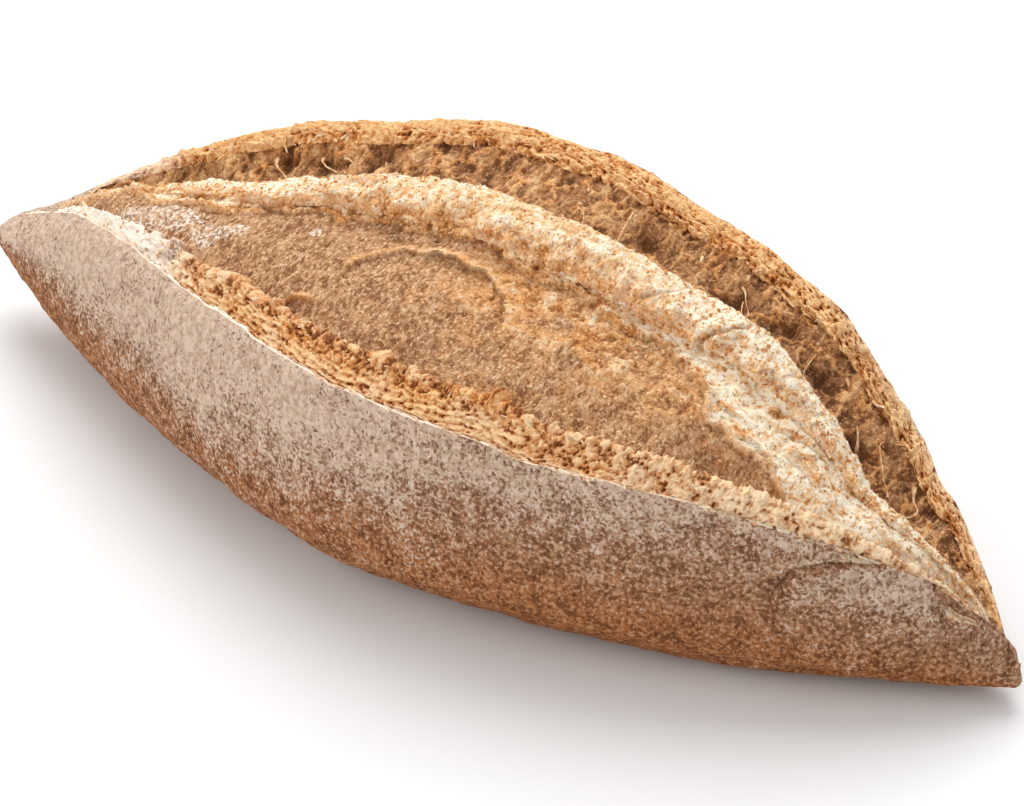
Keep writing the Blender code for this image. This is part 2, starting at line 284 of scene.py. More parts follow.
def places(count, start=-1.0, end=1.0, pull=0.34):
    """Places along the loaf: a straight run blended with a sine, which brings them closer near the tips."""
    s = np.linspace(start, end, count)
    return (1 - pull) * s + pull * np.sin(np.pi / 2 * s)


def along_loaf(t, profile):
    """A grid of points: each place along the loaf with its profile's (y, z)."""
    y, z = profile[:, 0], profile[:, 1]
    return np.stack([np.broadcast_to(t * HALF_LENGTH, y.shape), y, z], -1)


def write_piece(name, corners, faces, marks=None):
    """A smooth-shaded mesh object in metres, with each mark as a point attribute."""
    mesh = bpy.data.meshes.new(name)
    sides = [np.asarray(group, np.int32) for group in faces]
    mesh.vertices.add(len(corners))
    mesh.vertices.foreach_set("co", (np.asarray(corners, np.float32) * MM).ravel())
    loops = np.concatenate([group.ravel() for group in sides])
    counts = np.concatenate([np.full(len(group), group.shape[1]) for group in sides])
    mesh.loops.add(len(loops))
    mesh.loops.foreach_set("vertex_index", loops)
    mesh.polygons.add(len(counts))
    mesh.polygons.foreach_set("loop_start", np.concatenate([[0], np.cumsum(counts)[:-1]]))
    mesh.polygons.foreach_set("loop_total", counts)
    mesh.polygons.foreach_set("use_smooth", np.ones(len(counts), bool))
    for mark, values in (marks or {}).items():
        layer = mesh.attributes.new(mark, "FLOAT", "POINT")
        layer.data.foreach_set("value", np.asarray(values, np.float32).ravel())
    mesh.update(calc_edges=True)
    mesh.validate()
    piece = bpy.data.objects.new(name, mesh)
    bpy.context.scene.collection.objects.link(piece)
    return piece


def ride_with_loaf(piece, material):
    """Gives the piece its material and ties it to the loaf's one solid."""
    piece.data.materials.append(material)
    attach(piece, "root")
    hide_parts("loaf")


def crust_outline(t):
    """Quarter ellipses up the near side, the hidden top, the same down the far side, then the underside."""
    half, belly, under = belly_half(t), belly_height(t), bottom_height(t)
    foot = half * (FOOT_SHARE + FOOT_SHARE_GAIN * (2 * smooth(-0.5, 0.5, t) - 1))
    (near_y, near_z), (far_y, far_z) = near_lip(t), far_lip(t)
    bends = (LOW_ROWS, WALL_ROWS, FAR_WALL_ROWS, FAR_LOW_ROWS)
    low, up, down, back = [(np.arange(rows) / rows * np.pi / 2)[:, None] for rows in bends]
    run = (np.arange(FOOT_ROWS) / FOOT_ROWS)[:, None]
    top = burst_profile(np.arange(HIDDEN_ROWS) / HIDDEN_ROWS * FAR_LIP, t)
    stretches = (
        (-foot - (half - foot) * np.sin(low), under + (belly - under) * (1 - np.cos(low))),
        (-half + (near_y + half) * (1 - np.cos(up)), belly + (near_z - belly) * np.sin(up)),
        (top[:, 0], top[:, 1]),
        (half + (far_y - half) * (1 - np.sin(down)), belly + (far_z - belly) * np.cos(down)),
        (foot + (half - foot) * np.cos(back), under + (belly - under) * (1 - np.sin(back))),
        (foot * (1 - 2 * run), under + 0 * run),
    )
    return np.concatenate([np.stack(stretch, 1) for stretch in stretches])


def crust_closed(t, outline):
    """The outline with its upper part a half ellipse from belly to belly, as at the tips."""
    half, belly = belly_half(t), belly_height(t)
    crown = np.maximum(near_lip(t)[1], far_lip(t)[1])
    corners = np.cumsum((LOW_ROWS, WALL_ROWS, HIDDEN_ROWS, FAR_WALL_ROWS))
    turn = np.interp(np.arange(corners[0], corners[-1]), corners, np.radians([0, 77, 103, 180]))[:, None]
    arch = np.stack([-half * np.cos(turn), belly + (crown - belly) * np.sin(turn)], 1)
    closed = outline.copy()
    closed[corners[0] : corners[-1]] = arch
    return closed


def crust_relief(points):
    """Height in mm: swells, a leathery grain, one fold and one tucked lobe. Also the way from the lobe."""
    x, y, z = points[..., 0], points[..., 1], points[..., 2]
    swells = 0.45 * rough(points, 30, SEED + 1, 3) + 0.22 * rough(points, 8, SEED + 13, 3)
    leather = -0.22 * smooth(0.55, 0.1, holes(points, (2.0, 1.7, 1.7), SEED + 5))
    grain = 0.13 * rough(points, 2.2, SEED + 9, 2)
    crease = x - FOLD_PLACE[0] - FOLD_SLANT * (FOLD_PLACE[1] - z) + FOLD_STEP * (y > 0)
    crease = crease + 1.2 * drift(points, 9, SEED + 17)
    fold = -FOLD_DEPTH * (0.7 * bell(crease, 0, 2.0) - 0.5 * bell(crease, 9, 8)) * smooth(5, 14, z)
    lobe = away(x, z, LOBE_PLACE, LOBE_HALF_SIZE) + 0.05 * drift(points, 6, SEED + 19)
    tuck = LOBE_HEIGHT * (1 - smooth(0.94, 1.08, lobe)) * smooth(2, 14, z)
    tuck = tuck - bell(lobe, 1.08, 0.03) * smooth(20, 30, z)
    return (swells + grain + leather) * smooth(0.4, 8, z) + fold + tuck, lobe


t = places(CRUST_STATIONS + 2)[1:-1]
shut = 1 - smooth(-0.985, -0.86, t) * (1 - smooth(0.93, 0.995, t))
outline = crust_outline(t)
outline = outline * (1 - shut) + crust_closed(t, outline) * shut
row = np.arange(len(outline))[:, None] + 0 * t
near_edge, far_edge = LOW_ROWS + WALL_ROWS, LOW_ROWS + WALL_ROWS + HIDDEN_ROWS
points = along_loaf(t, outline)
hidden = (row > near_edge) & (row < far_edge)
sunk = hidden * smooth(-0.90, -0.82, t) * (1 - smooth(0.93, 0.975, t))
resting = (outline[:, 1] <= bottom_height(t) + 1e-6) & (np.abs(t) < 0.55)
height, lobe = crust_relief(points)
from_edge = np.minimum(np.abs(row - near_edge), np.abs(row - far_edge)) / RELIEF_FADE_ROWS
height = height * np.maximum(np.clip(from_edge, 0, 1), shut) * (1 - hidden * (1 - shut)) * (1 - resting)
height = height * (1 - smooth(0.985, 1.0, np.abs(t))) - SINK_UNDER_CRUMB * sunk
points = uneven(points + outward(points, closed_ring=True) * height[..., None])
points[..., 2] = np.maximum(points[..., 2], 0)

x, z = points[..., 0], points[..., 2]
up_near = np.clip(row / near_edge, 0, 1) * (row <= near_edge)
up_far = np.clip((len(row) - FOOT_ROWS - row) / (FAR_LOW_ROWS + FAR_WALL_ROWS), 0, 1) * (row > near_edge)
up_wall = up_near + up_far
from_left = (x + HALF_LENGTH) / (2 * HALF_LENGTH)
flour_and_crease_shade = 0.15 + 0.85 * smooth(0.13, 0.65, up_wall - 0.16 * smooth(0.25, 0.85, from_left))
flour_and_crease_shade = flour_and_crease_shade * (1 - 0.33 * smooth(0.30, 0.68, from_left)) + 0.20 * rough(points, 26, SEED + 31, 3)
flour_and_crease_shade = flour_and_crease_shade + 0.14 * bell(from_left, 0.46, 0.13) - 0.35 * smooth(0.92, 0.98, from_left)
# Painted shade: a dark line along the crease above the tucked lobe, made by taking flour away there.
flour_and_crease_shade = flour_and_crease_shade - 1.1 * bell(lobe, 1.07, 0.05) * smooth(22, 32, z)
flour_and_crease_shade = flour_and_crease_shade - 2.0 * bell(np.linalg.norm(points - np.array(PINCH_PLACE), axis=-1), 0, PINCH_RADIUS)
flour_and_crease_shade = flour_and_crease_shade + 0.16 * smooth(1.03, 0.93, lobe) * smooth(14, 30, z)
edge_rows = 0.9 + 1.5 * (1 - smooth(-0.6, -0.1, t))
edge_rows = edge_rows * (1 + 0.6 * np.clip(rough(points, 3, SEED + 35, 3), -0.8, 1))
edge = bell(row, near_edge, edge_rows) * (1 - shut) * (1 - 0.5 * smooth(0.1, 0.6, t))

rings, stations = row.shape
index = np.arange(rings * stations).reshape(rings, stations)
after = np.roll(index, -1, 0)
quads = np.stack([index[:, :-1], index[:, 1:], after[:, 1:], after[:, :-1]], -1).reshape(-1, 4)
left_fan = np.stack([np.full(rings, rings * stations), index[:, 0], after[:, 0]], -1)
right_fan = np.stack([np.full(rings, rings * stations + 1), after[:, -1], index[:, -1]], -1)
tips = [(-HALF_LENGTH, 0, LEFT_TIP_HEIGHT), (HALF_LENGTH, 0, RIGHT_TIP_HEIGHT)]
crust = write_piece(
    "loaf_crust",
    np.concatenate([points.reshape(-1, 3), tips]),
    [quads, np.concatenate([left_fan, right_fan])],
    {
        "flour_and_crease_shade": np.append(flour_and_crease_shade, [0.5, 0.3]),
        "edge": np.append(edge, [0, 0]),
        "wall": np.append(up_wall, [0.5, 0.5]),
    },
)


def colour(red, green, blue):
    """A colour as seen on a screen, 0 to 255, as linear light."""
    seen = np.array([red, green, blue]) / 255
    linear = np.where(seen <= 0.04045, seen / 12.92, ((seen + 0.055) / 1.055) ** 2.4)
    return (*linear.tolist(), 1.0)


class Finish:
    """A Principled material, with short ways to add its nodes."""

    def __init__(self, name, roughness):
        self.material = bpy.data.materials.new(name)
        self.material.use_nodes = True
        self.tree = self.material.node_tree
        self.shader = self.tree.nodes["Principled BSDF"]
        self.shader.inputs["Roughness"].default_value = roughness
        self.shader.inputs["Specular IOR Level"].default_value = 0.25
        self.place = self.tree.nodes.new("ShaderNodeTexCoord").outputs["Object"]

    def join(self, value, socket):
        """Links a socket, or sets a plain value or a colour as seen."""
        if isinstance(value, bpy.types.NodeSocket):
            self.tree.links.new(value, socket)
        else:
            socket.default_value = colour(*value) if isinstance(value, tuple) else value

    def mark(self, name):
        """A point attribute's value."""
        node = self.tree.nodes.new("ShaderNodeAttribute")
        node.attribute_name = name
        return node.outputs["Fac"]

    def noise(self, size, detail=3.0, roughness=0.6, stretch=(1, 1, 1)):
        """Noise from 0 to 1 with blobs of this size in mm."""
        mapping = self.tree.nodes.new("ShaderNodeMapping")
        mapping.inputs["Scale"].default_value = tuple(1 / s for s in stretch)
        self.join(self.place, mapping.inputs["Vector"])
        node = self.tree.nodes.new("ShaderNodeTexNoise")
        node.inputs["Scale"].default_value = 1 / (size * MM)
        node.inputs["Detail"].default_value = detail
        node.inputs["Roughness"].default_value = roughness
        self.join(mapping.outputs["Vector"], node.inputs["Vector"])
        return node.outputs["Fac"]

    def crumbs(self, size):
        """Lumps of this size in mm, from cells: one at each lump's middle, zero in the gaps."""
        node = self.tree.nodes.new("ShaderNodeTexVoronoi")
        node.inputs["Scale"].default_value = 1 / (size * MM)
        node.inputs["Detail"].default_value = 1.0
        self.join(self.place, node.inputs["Vector"])
        return self.ramp(node.outputs["Distance"], 0.75, 0.15)

    def add(self, *terms):
        """The sum of (value, weight) pairs."""
        total = 0.0
        for value, weight in terms:
            node = self.tree.nodes.new("ShaderNodeMath")
            node.operation = "MULTIPLY_ADD"
            for socket, term in zip(node.inputs, (value, weight, total)):
                self.join(term, socket)
            total = node.outputs["Value"]
        return total

    def ramp(self, value, start, end, top=1.0):
        """Zero at start and the top value at end, smooth between."""
        node = self.tree.nodes.new("ShaderNodeMapRange")
        node.interpolation_type = "SMOOTHSTEP"
        for socket, term in (("Value", value), ("From Min", start), ("From Max", end), ("To Max", top)):
            self.join(term, node.inputs[socket])
        return node.outputs["Result"]

    def mix(self, share, first, second):
        """The first colour at zero, the second at one."""
        node = self.tree.nodes.new("ShaderNodeMix")
        node.data_type = "RGBA"
        for socket, term in (("Factor", share), ("A", first), ("B", second)):
            self.join(term, node.inputs[socket])
        return node.outputs["Result"]

    def grade(self, first, second, value, start, end, most=1.0):
        """The first colour where the value is at start, and the most of the second where it's at end."""
        return self.mix(self.ramp(value, start, end, most), first, second)

    def finish(self, base_colour, bump, depth):
        """Sets the base colour and a bump of this depth in mm, and returns the material."""
        node = self.tree.nodes.new("ShaderNodeBump")
        node.inputs["Distance"].default_value = depth * MM
        self.join(bump, node.inputs["Height"])
        self.join(node.outputs["Normal"], self.shader.inputs["Normal"])
        self.join(base_colour, self.shader.inputs["Base Color"])
        return self.material


floury = Finish("floured_baked_crust", 0.85)
grain = floury.noise(0.85, 2, 0.6)
patches = floury.noise(4.0, 4, 0.6)
cover = floury.add((grain, 0.9), (patches, 0.60), (floury.mark("flour_and_crease_shade"), 0.34))
# The bare crust is darker and more orange low on the wall: partly its own bake, partly painted shade and
# painted warm light bounced from below.
upper = floury.ramp(floury.mark("wall"), 0.10, 0.60)
low = floury.grade((114, 60, 20), (164, 98, 46), patches, 0.3, 0.6)
high = floury.grade((126, 84, 56), (162, 118, 86), patches, 0.3, 0.6)
bare = floury.mix(upper, low, high)
bare = floury.grade(bare, (166, 138, 120), floury.mark("flour_and_crease_shade"), 0.45, 1.0, 0.8)
flecks = floury.noise(1.0, 3, 0.6)
bright = floury.mix(upper, (192, 138, 90), (208, 172, 144))
bare = floury.grade(bare, bright, flecks, 0.53, 0.61, 0.75)
bare = floury.grade(bare, (84, 46, 20), flecks, 0.46, 0.37, 0.7)
powder = floury.grade((182, 153, 130), (217, 191, 170), floury.noise(1.6, 4, 0.7), 0.35, 0.62)
skin = floury.grade(bare, powder, cover, 0.91, 1.05)
lip_light = floury.add((floury.mark("edge"), 1.0), (grain, 0.6))
skin = floury.grade(skin, (252, 238, 218), lip_light, 0.50, 0.85)
floured_crust = floury.finish(skin, floury.add((grain, 1.0), (cover, 0.6)), 0.5)
ride_with_loaf(crust, floured_crust)


# ----------------------------------------------------------------------------
# The stub on the right tip: the end of the rolled dough, pinched to a small dark knob that points outwards.
# It's a bent tube, waisted where it leaves the tip, with a round end.
STUB_PLACE, STUB_REACH = (145.2, -0.8, 8.2), (4.9, 0.3, 3.6)
STUB_RADIUS, STUB_SAG, STUB_RINGS, STUB_SIDES = 1.7, 0.8, 16, 18

s = np.linspace(0, 1, STUB_RINGS)[:, None]
angle = np.arange(STUB_SIDES) / STUB_SIDES * 2 * np.pi
middle = np.array(STUB_PLACE) + s * np.array(STUB_REACH) + STUB_SAG * np.sin(np.pi * s) * [0, 0, -1]
radius = STUB_RADIUS * np.sqrt(np.clip(1 - s**5, 0, 1)) * (1 - 0.28 * bell(s, 0.45, 0.22))
spoke = np.stack([0 * angle, np.cos(angle), np.sin(angle)], -1)
stub_points = middle[:, None] + radius[:, None] * spoke
stub_points = stub_points + 0.22 * rough(stub_points, 1.6, SEED + 401, 3)[..., None] * spoke
index = np.arange(STUB_RINGS * STUB_SIDES).reshape(STUB_RINGS, STUB_SIDES)
beside = np.roll(index, -1, 1)
sides = np.stack([index[:-2], beside[:-2], beside[1:-1], index[1:-1]], -1).reshape(-1, 4)
stub_corners = np.concatenate([stub_points[:-1].reshape(-1, 3), stub_points[-1, :1]])
cap = np.stack([index[-2], beside[-2], np.full(STUB_SIDES, index[-1, 0])], -1)
flat = np.ones(len(stub_corners))
stub_marks = {"flour_and_crease_shade": -0.5 * flat, "edge": 0 * flat, "wall": 0.5 * flat}
stub = write_piece("tip_stub", stub_corners, [sides, cap, index[:1, ::-1]], stub_marks)
ride_with_loaf(stub, floured_crust)


# ----------------------------------------------------------------------------
# The torn near rim: the band behind the crisp lip, where the crust tore off in thin baked layers and stands
# up in a ragged, orange crest. It's a closed slab of dough laid on the crust.
SLAB_DEPTH, SLAB_TAPER, EDGE_DROP = 5.0, 1.5, 3.0
RIM_ROWS, RIM_FOOT_ROWS, RIM_STATIONS = 72, 21, 1050
RIM_START, RIM_END = -0.89, 0.968
LAYER_PITCH, LAYER_HEIGHT = 1.3, 0.95
CREST_LIFT, SPIKE_HEIGHT, SPONGE_HEIGHT, FOOT_DROP = 1.0, 1.4, 0.85, 4.0
HORN_PLACE, HORN_HALF_WIDTH, HORN_HEIGHT = 37.0, 0.8, 5.0


def slab(name, top, depth, marks):
    """A closed slab: the top grid, walls down and inwards from its sides and ends, and a strip below."""
    rows, stations = top.shape[:2]
    low = top[[0, -1]].copy()
    low[..., 1] += np.clip(0.5 * (low[..., 1].mean(0) - low[..., 1]), -SLAB_TAPER, SLAB_TAPER)
    depth = depth * (0.3 + 0.7 * smooth(0, 0.5, opening(low[..., 0] / HALF_LENGTH)))
    low[..., 2] -= np.minimum(depth, 0.5 * low[..., 2])
    index = np.arange(rows * stations).reshape(rows, stations)
    near, far = rows * stations + np.arange(2 * stations).reshape(2, stations)
    quads = [
        np.stack([index[:-1, :-1], index[:-1, 1:], index[1:, 1:], index[1:, :-1]], -1).reshape(-1, 4),
        np.stack([near[:-1], near[1:], index[0, 1:], index[0, :-1]], -1),
        np.stack([index[-1, :-1], index[-1, 1:], far[1:], far[:-1]], -1),
        np.stack([far[:-1], far[1:], near[1:], near[:-1]], -1),
    ]
    left = np.concatenate([[near[0]], index[:, 0], [far[0]]])[None]
    right = np.concatenate([[far[-1]], index[::-1, -1], [near[-1]]])[None]
    full = {mark: np.concatenate([values.ravel(), values[0], values[-1]]) for mark, values in marks.items()}
    corners = np.concatenate([top.reshape(-1, 3), low.reshape(-1, 3)])
    return write_piece(name, corners, [np.concatenate(quads), left, right], full)


def cut_places(stations):
    """Places from one end of the cut to the other."""
    return places(stations, RIM_START, RIM_END, 0.2)


def burst_patch(rail, stations):
    """The burst at these rails: points, normals, rails, places and how far it's open, all as grids."""
    t = cut_places(stations)
    points = along_loaf(t, burst_profile(rail, t))
    t = t + 0 * rail[:, None]
    return points, outward(points), rail[:, None] + 0 * t, t, opening(t)


def raised(points, normal, height, t):
    """Points moved out by the height, which fades at a slab's two ends while they drop into the crust."""
    share = smooth(RIM_START, RIM_START + 0.05, t) * (1 - smooth(RIM_END - 0.035, RIM_END, t))
    moved = points + normal * (height * share)[..., None]
    moved[..., 2] -= SINK_UNDER_CRUMB * (1 - share) * smooth(2, 14, points[..., 2])
    return moved


def laid_flat(along, inward):
    """The points (along, inward, 0), for noise that follows a torn band."""
    return np.stack([along, inward, 0 * along], -1)


def torn_layers(along, inward, seed):
    """Shingled layers, each with a steep front and a long back, warped and broken: height, and a lightness
    that is painted light on the layers' edges and painted shade in their gaps and pores.
    """
    sheet = laid_flat(along, inward)
    bend = 1.0 * drift(sheet, (11, 9, 1), seed) + 0.35 * drift(sheet, (3.2, 4, 1), seed + 1)
    block = laid_flat((along + 2 * drift(sheet, (4, 3, 1), seed + 2)) / 4.0, inward / 2.6)
    layer = inward / LAYER_PITCH + bend + 0.5 * random_at(np.floor(block).astype(np.int64), seed + 3)
    share = layer - np.floor(layer)
    shelf = smooth(0, 0.18, share) * (1 - 0.85 * share)
    strength = 0.45 + 0.75 * smooth(-0.5, 0.4, drift(sheet, (6, 2.5, 1), seed + 4))
    fibres = rough(sheet, (1.8, 0.8, 1), seed + 6, 4, 0.7)
    pores = smooth(0.50, 0.20, holes(sheet, (1.5, 0.9, 1.0), seed + 9))
    height = LAYER_HEIGHT * shelf * strength + 0.34 * fibres - 0.6 * pores
    return height, shelf * strength - 0.7 * pores + 0.32 * fibres


rim_rails = np.linspace(LIP, NEAR_FOOT, RIM_ROWS)
rim_rails = np.append(rim_rails, np.linspace(NEAR_FOOT, NEAR_FOOT + 0.35, RIM_FOOT_ROWS)[1:])
points, normal, rail, t, gap = burst_patch(rim_rails, RIM_STATIONS)
along, inward = points[..., 0], points[..., 1] - near_lip(t)[0]
layers, light = torn_layers(1.2 * along, inward, SEED + 41)
sheet = laid_flat(along, inward)
sponge = rough(sheet, 2.0, SEED + 51, 4, 0.75) - 0.9 * smooth(0.5, 0.15, holes(sheet, 1.1, SEED + 55))
to_right, to_left = smooth(0.28, 0.62, t), smooth(-0.45, -0.62, t)
spongy = smooth(1.5, 2.6, rail + 1.5 * to_right + 0.35 * drift(sheet, (9, 30, 1), SEED + 57)) * gap**0.4
spikes = np.clip(rough(sheet, (2.2, 9, 1), SEED + 61, 4, 0.75) + 0.2, 0, 2) ** 1.5
spikes = spikes * bell(rail, CREST + 0.1, 0.45) * gap * (1 - 0.6 * to_right) * (1 - 0.85 * to_left)
horn = bell(along, HORN_PLACE + 2.0 * (rail - CREST), HORN_HALF_WIDTH) * bell(rail, CREST + 0.25, 0.35)
inner = smooth(0.0, 0.35, rail)
border = NEAR_FOOT + 0.03 + 0.07 * rough(sheet, (6, 60, 1), SEED + 67, 4, 0.65)
height = layers * (1 - 0.6 * spongy) * (0.35 + 0.65 * gap) + SPONGE_HEIGHT * sponge * spongy
height = height * inner * (1 - 0.5 * to_left) + HORN_HEIGHT * horn
height = height + (CREST_LIFT * (1 - to_left) * smooth(1.2, 2.8, rail) + SPIKE_HEIGHT * spikes) * gap
height = height - FOOT_DROP * smooth(border - 0.03, border + 0.05, rail)
rim_points = raised(points, normal, height, t)
rim_points[..., 1] += (-0.5 * layers * inner + 0.9 * spikes * drift(points, 4.0, SEED + 65)) * gap
rim_points = uneven(rim_points)
browned = smooth(0.1, 1.3, rail) * smooth(-0.56, -0.26, t) * (1 - 0.5 * smooth(0.25, 0.70, t))
orange_crumbs = smooth(0.3, 0.7, rough(sheet, 2.4, SEED + 71, 3)) * smooth(0.3, 1.0, rail)
browned = np.clip(browned + 0.45 * to_left * orange_crumbs, 0, 1)
white_edge = bell(rail, LIP, 0.22 + 0.50 * (1 - smooth(-0.6, -0.1, t))) * (1 - smooth(0.1, 0.5, t))
# The relief mark is painted light and shade: light where the layers and sponge stand up, dark where they
# sink, and lighter towards both ends.
torn_relief = 0.42 + 0.22 * to_left + 0.95 * light * (1 - spongy)
torn_relief = torn_relief + spongy * (0.08 + 0.34 * to_right + 0.60 * sponge)
rim_marks = {
    "relief": np.clip(torn_relief, 0, 0.85 + 0.1 * to_right),
    "edge": np.maximum(white_edge, 0.62 * smooth(-0.32, -0.55, t)),
    "browned": browned * (0.75 + 0.25 * drift(sheet, (8, 3, 1), SEED + 69)),
}
near_rim = slab("torn_near_rim", rim_points, SLAB_DEPTH, rim_marks)


def torn_finish(name, deep, middle, light):
    """Layered torn crust: painted shade deep in the tears, painted light on the thin raised edges, with a
    grain of crumbs.
    """
    torn = Finish(name, 0.8)
    grain = torn.noise(0.7, 3, 0.7)
    lumps = torn.crumbs(1.3)
    level = torn.add((torn.mark("relief"), 1.15), (grain, 1.5), (lumps, 0.55), (1.0, -0.86))
    body = torn.grade(deep, middle, level, 0.08, 0.42)
    body = torn.grade(body, light, level, 0.42, 0.85)
    orange = torn.grade((138, 74, 30), (222, 146, 76), level, 0.05, 0.42)
    orange = torn.grade(orange, (255, 208, 146), level, 0.42, 0.95)
    body = torn.mix(torn.mark("browned"), body, orange)
    white = torn.add((torn.mark("edge"), 1.0), (grain, 0.6))
    body = torn.grade(body, (255, 240, 224), white, 0.55, 0.90)
    return torn.finish(body, torn.add((grain, 1.0), (lumps, 0.5)), 0.5)


ride_with_loaf(near_rim, torn_finish("torn_crust_layers", (146, 94, 56), (232, 182, 136), (255, 232, 202)))


# ----------------------------------------------------------------------------
# The near burst: the crumb that swelled out of the cut and baked as a tan, finely wrinkled skin, stretched
# across the loaf. It carries one curled flap of skin, one small curl near the left end of the torn crest,
# and coarse golden rubble below the ridge, which spreads over all of it towards the right tip.
BURST_ROWS, BURST_STATIONS, BURST_DEPTH = 170, 580, 8.0
LEDGE_HEIGHT, BOWL_DEPTH, CURL_HEIGHT = 1.7, 0.8, 1.7
TERRACE_PITCH, TERRACE_HEIGHT, HOLLOW_DEPTH, BLISTER_HEIGHT = 4.6, 1.1, 1.8, 0.75
# The flap, the curl, the rubble in the middle, the hollow and the loose flour: (x, y) and half-sizes
FLAP_PLACE, FLAP_HALF_SIZE = (2, -27), (23, 16)
CURL_PLACE, CURL_HALF_SIZE = (-25, -38), (7.0, 6.0)
RUBBLE_PLACE, RUBBLE_HALF_SIZE = (42, -15), (38, 11)
HOLLOW_PLACE, HOLLOW_HALF_SIZE = (86, -27), (13, 4.5)
FLOUR_SPOTS = (((-84, -13), (24, 8)), ((-67, -18), (6, 4)), ((-59, -15), (5, 3)), ((-38, -13), (4, 3)))
# Where the golden crumb below the ridge breaks off, as (x, y)
GOLDEN_EDGE = (
    (-100, -5), (-86, -8), (-65, -8), (-50, -4.5), (-35, -6.5), (-26, -4.5), (10, -5),
    (27, -7), (56, -9), (70, -13), (79, -20.5), (98, -22), (118, -44),
)


def fading(x, length):
    """One up to zero, then exp(-x / length)."""
    return np.exp(-np.clip(x, 0, None) / length)


def dive(rail, first, last):
    """The drop at a slab's long edges: S-curves, down to its first rail and from last to its end."""
    return EDGE_DROP * (1 - smooth(rail[0, 0], first, rail)) + EDGE_DROP * smooth(last, rail[-1, 0], rail)


def scallops(points, pitch, seed):
    """Broken terraces this far apart, steep towards -Y: height, share on a lip, and share below it."""
    sheet = points * [1, 1, 0]
    line = points[..., 1] / pitch + 1.1 * drift(sheet, (17, 11, 1), seed)
    line = line + 0.35 * rough(sheet, 4, seed + 1, 3)
    share = line - np.floor(line)
    broken = smooth(-0.15, 0.35, drift(sheet, (10, 5, 1), seed + 7))
    height = smooth(0, 0.12, share) * (1 - share)
    return height * broken, bell(share, 0.15, 0.09) * broken, smooth(0.8, 0.96, share) * broken


def crumb_marks(rail, **shares):
    """Each share held between 0 and 1, as a mark on the whole grid."""
    return {name: np.clip(share + 0 * rail, 0, 1) for name, share in shares.items()}


burst_rails = np.linspace(NEAR_FOOT - 0.3, RIDGE_FOOT + 0.5, BURST_ROWS)
points, normal, rail, t, gap = burst_patch(burst_rails, BURST_STATIONS)
x, y = points[..., 0], points[..., 1]
reach = away(x, y, FLAP_PLACE, FLAP_HALF_SIZE) + 0.07 * drift(points, 6, SEED + 61)
reach = reach + 0.035 * rough(points, 2.2, SEED + 62, 3)
arc = smooth(-29, -17, y) * (0.45 + 0.55 * smooth(-0.6, 0.2, drift(points, 7, SEED + 64) + 0.02 * (x + 10)))
flap = arc * LEDGE_HEIGHT * smooth(0.985, 1.015, reach) * fading(reach - 1.015, 0.14)
bowl = -BOWL_DEPTH * bell(reach, 0.84, 0.16) * arc
curl = away(x, y, CURL_PLACE, CURL_HALF_SIZE) + 0.1 * drift(points, 2, SEED + 66)
curl = bell(curl, 1, 0.12) * smooth(-21, -27, x)
dashes = rough(points, (0.9, 1.5, 1.5), SEED + 63, 3)
blisters = rough(points, 7, SEED + 71, 4)
pocks = smooth(0.30, 0.10, holes(points, (3.0, 4.0, 4.0), SEED + 77))
pocks = pocks * smooth(0.0, 0.5, drift(points, 9, SEED + 78))
from_edge = y - np.interp(x, *np.transpose(GOLDEN_EDGE)) + 2.6 * rough(points, 7, SEED + 72, 4)
above = smooth(-0.5, 0.5, from_edge) * gap**0.4
creamy = above * (smooth(15, 55, x) + 0.8 * smooth(-28, -52, x))
in_middle = bell(away(x, y, RUBBLE_PLACE, RUBBLE_HALF_SIZE), 0, 0.85)
rubbly = np.clip(in_middle * smooth(-0.5, 0.2, drift(points, 6, SEED + 73)) + above, 0, 1) * gap
rubble = rough(points, 2.6, SEED + 75, 4) - 0.7 * smooth(0.5, 0.15, holes(points, 1.5, SEED + 79))
hollow = bell(away(x, y, HOLLOW_PLACE, HOLLOW_HALF_SIZE), 0, 1)
terraces, lips, below = scallops(points, TERRACE_PITCH, SEED + 84)
terraced = np.clip(in_middle + above, 0, 1) * gap
height = flap + bowl + CURL_HEIGHT * curl + BLISTER_HEIGHT * blisters - 0.4 * pocks
height = height + 0.11 * dashes * (1 - 0.6 * rubbly) + (0.90 - 0.55 * creamy) * rubbly * rubble
height = height + TERRACE_HEIGHT * terraces * terraced - HOLLOW_DEPTH * hollow
height = height + 0.7 * above * fading(from_edge, 6) + 0.5 * bell(from_edge, 0.7, 0.5) * gap
height = height - dive(rail, NEAR_FOOT - 0.05, RIDGE_FOOT + 0.2)
burst_points = raised(points, normal, height, t)
burst_points[..., 1] -= 0.9 * bell(reach, 1.03, 0.04) * arc + 1.2 * curl
burst_points = uneven(burst_points)
mottled = smooth(-0.1, 0.7, rough(points, 5, SEED + 83, 4) + 0.5 * smooth(-5, 25, x) * smooth(-32, -16, y))
on_lip = np.clip(lips * terraced + bell(from_edge, 0.6, 0.7) * gap, 0, 1)
flap_lip = bell(reach, 1.045, 0.042) * arc
golden = rubbly * (1 - creamy) + 0.45 * mottled * gap * smooth(-25, 15, x) + curl + on_lip + flap_lip
patchy = rubbly * (1 - above) * smooth(-0.1, 0.5, rough(points, 3.6, SEED + 90, 4))
pale_spots = rubbly * smooth(0.1, 0.5, rough(points, 3.0, SEED + 91, 4))
creamy = creamy + 0.7 * pale_spots
toasted = 0.60 * on_lip + 0.65 * flap_lip + 0.7 * curl + 0.6 * patchy * (1 - pale_spots)
shaded = 0.80 * bell(reach, 0.985, 0.015) * arc + 0.2 * bell(reach, 0.95, 0.05) * arc + 0.25 * hollow
shaded = shaded + 0.40 * below * terraced + 0.4 * bell(from_edge, -0.7, 0.5) * gap
powdered = 0.7 * smooth(-0.55, -0.8, t)
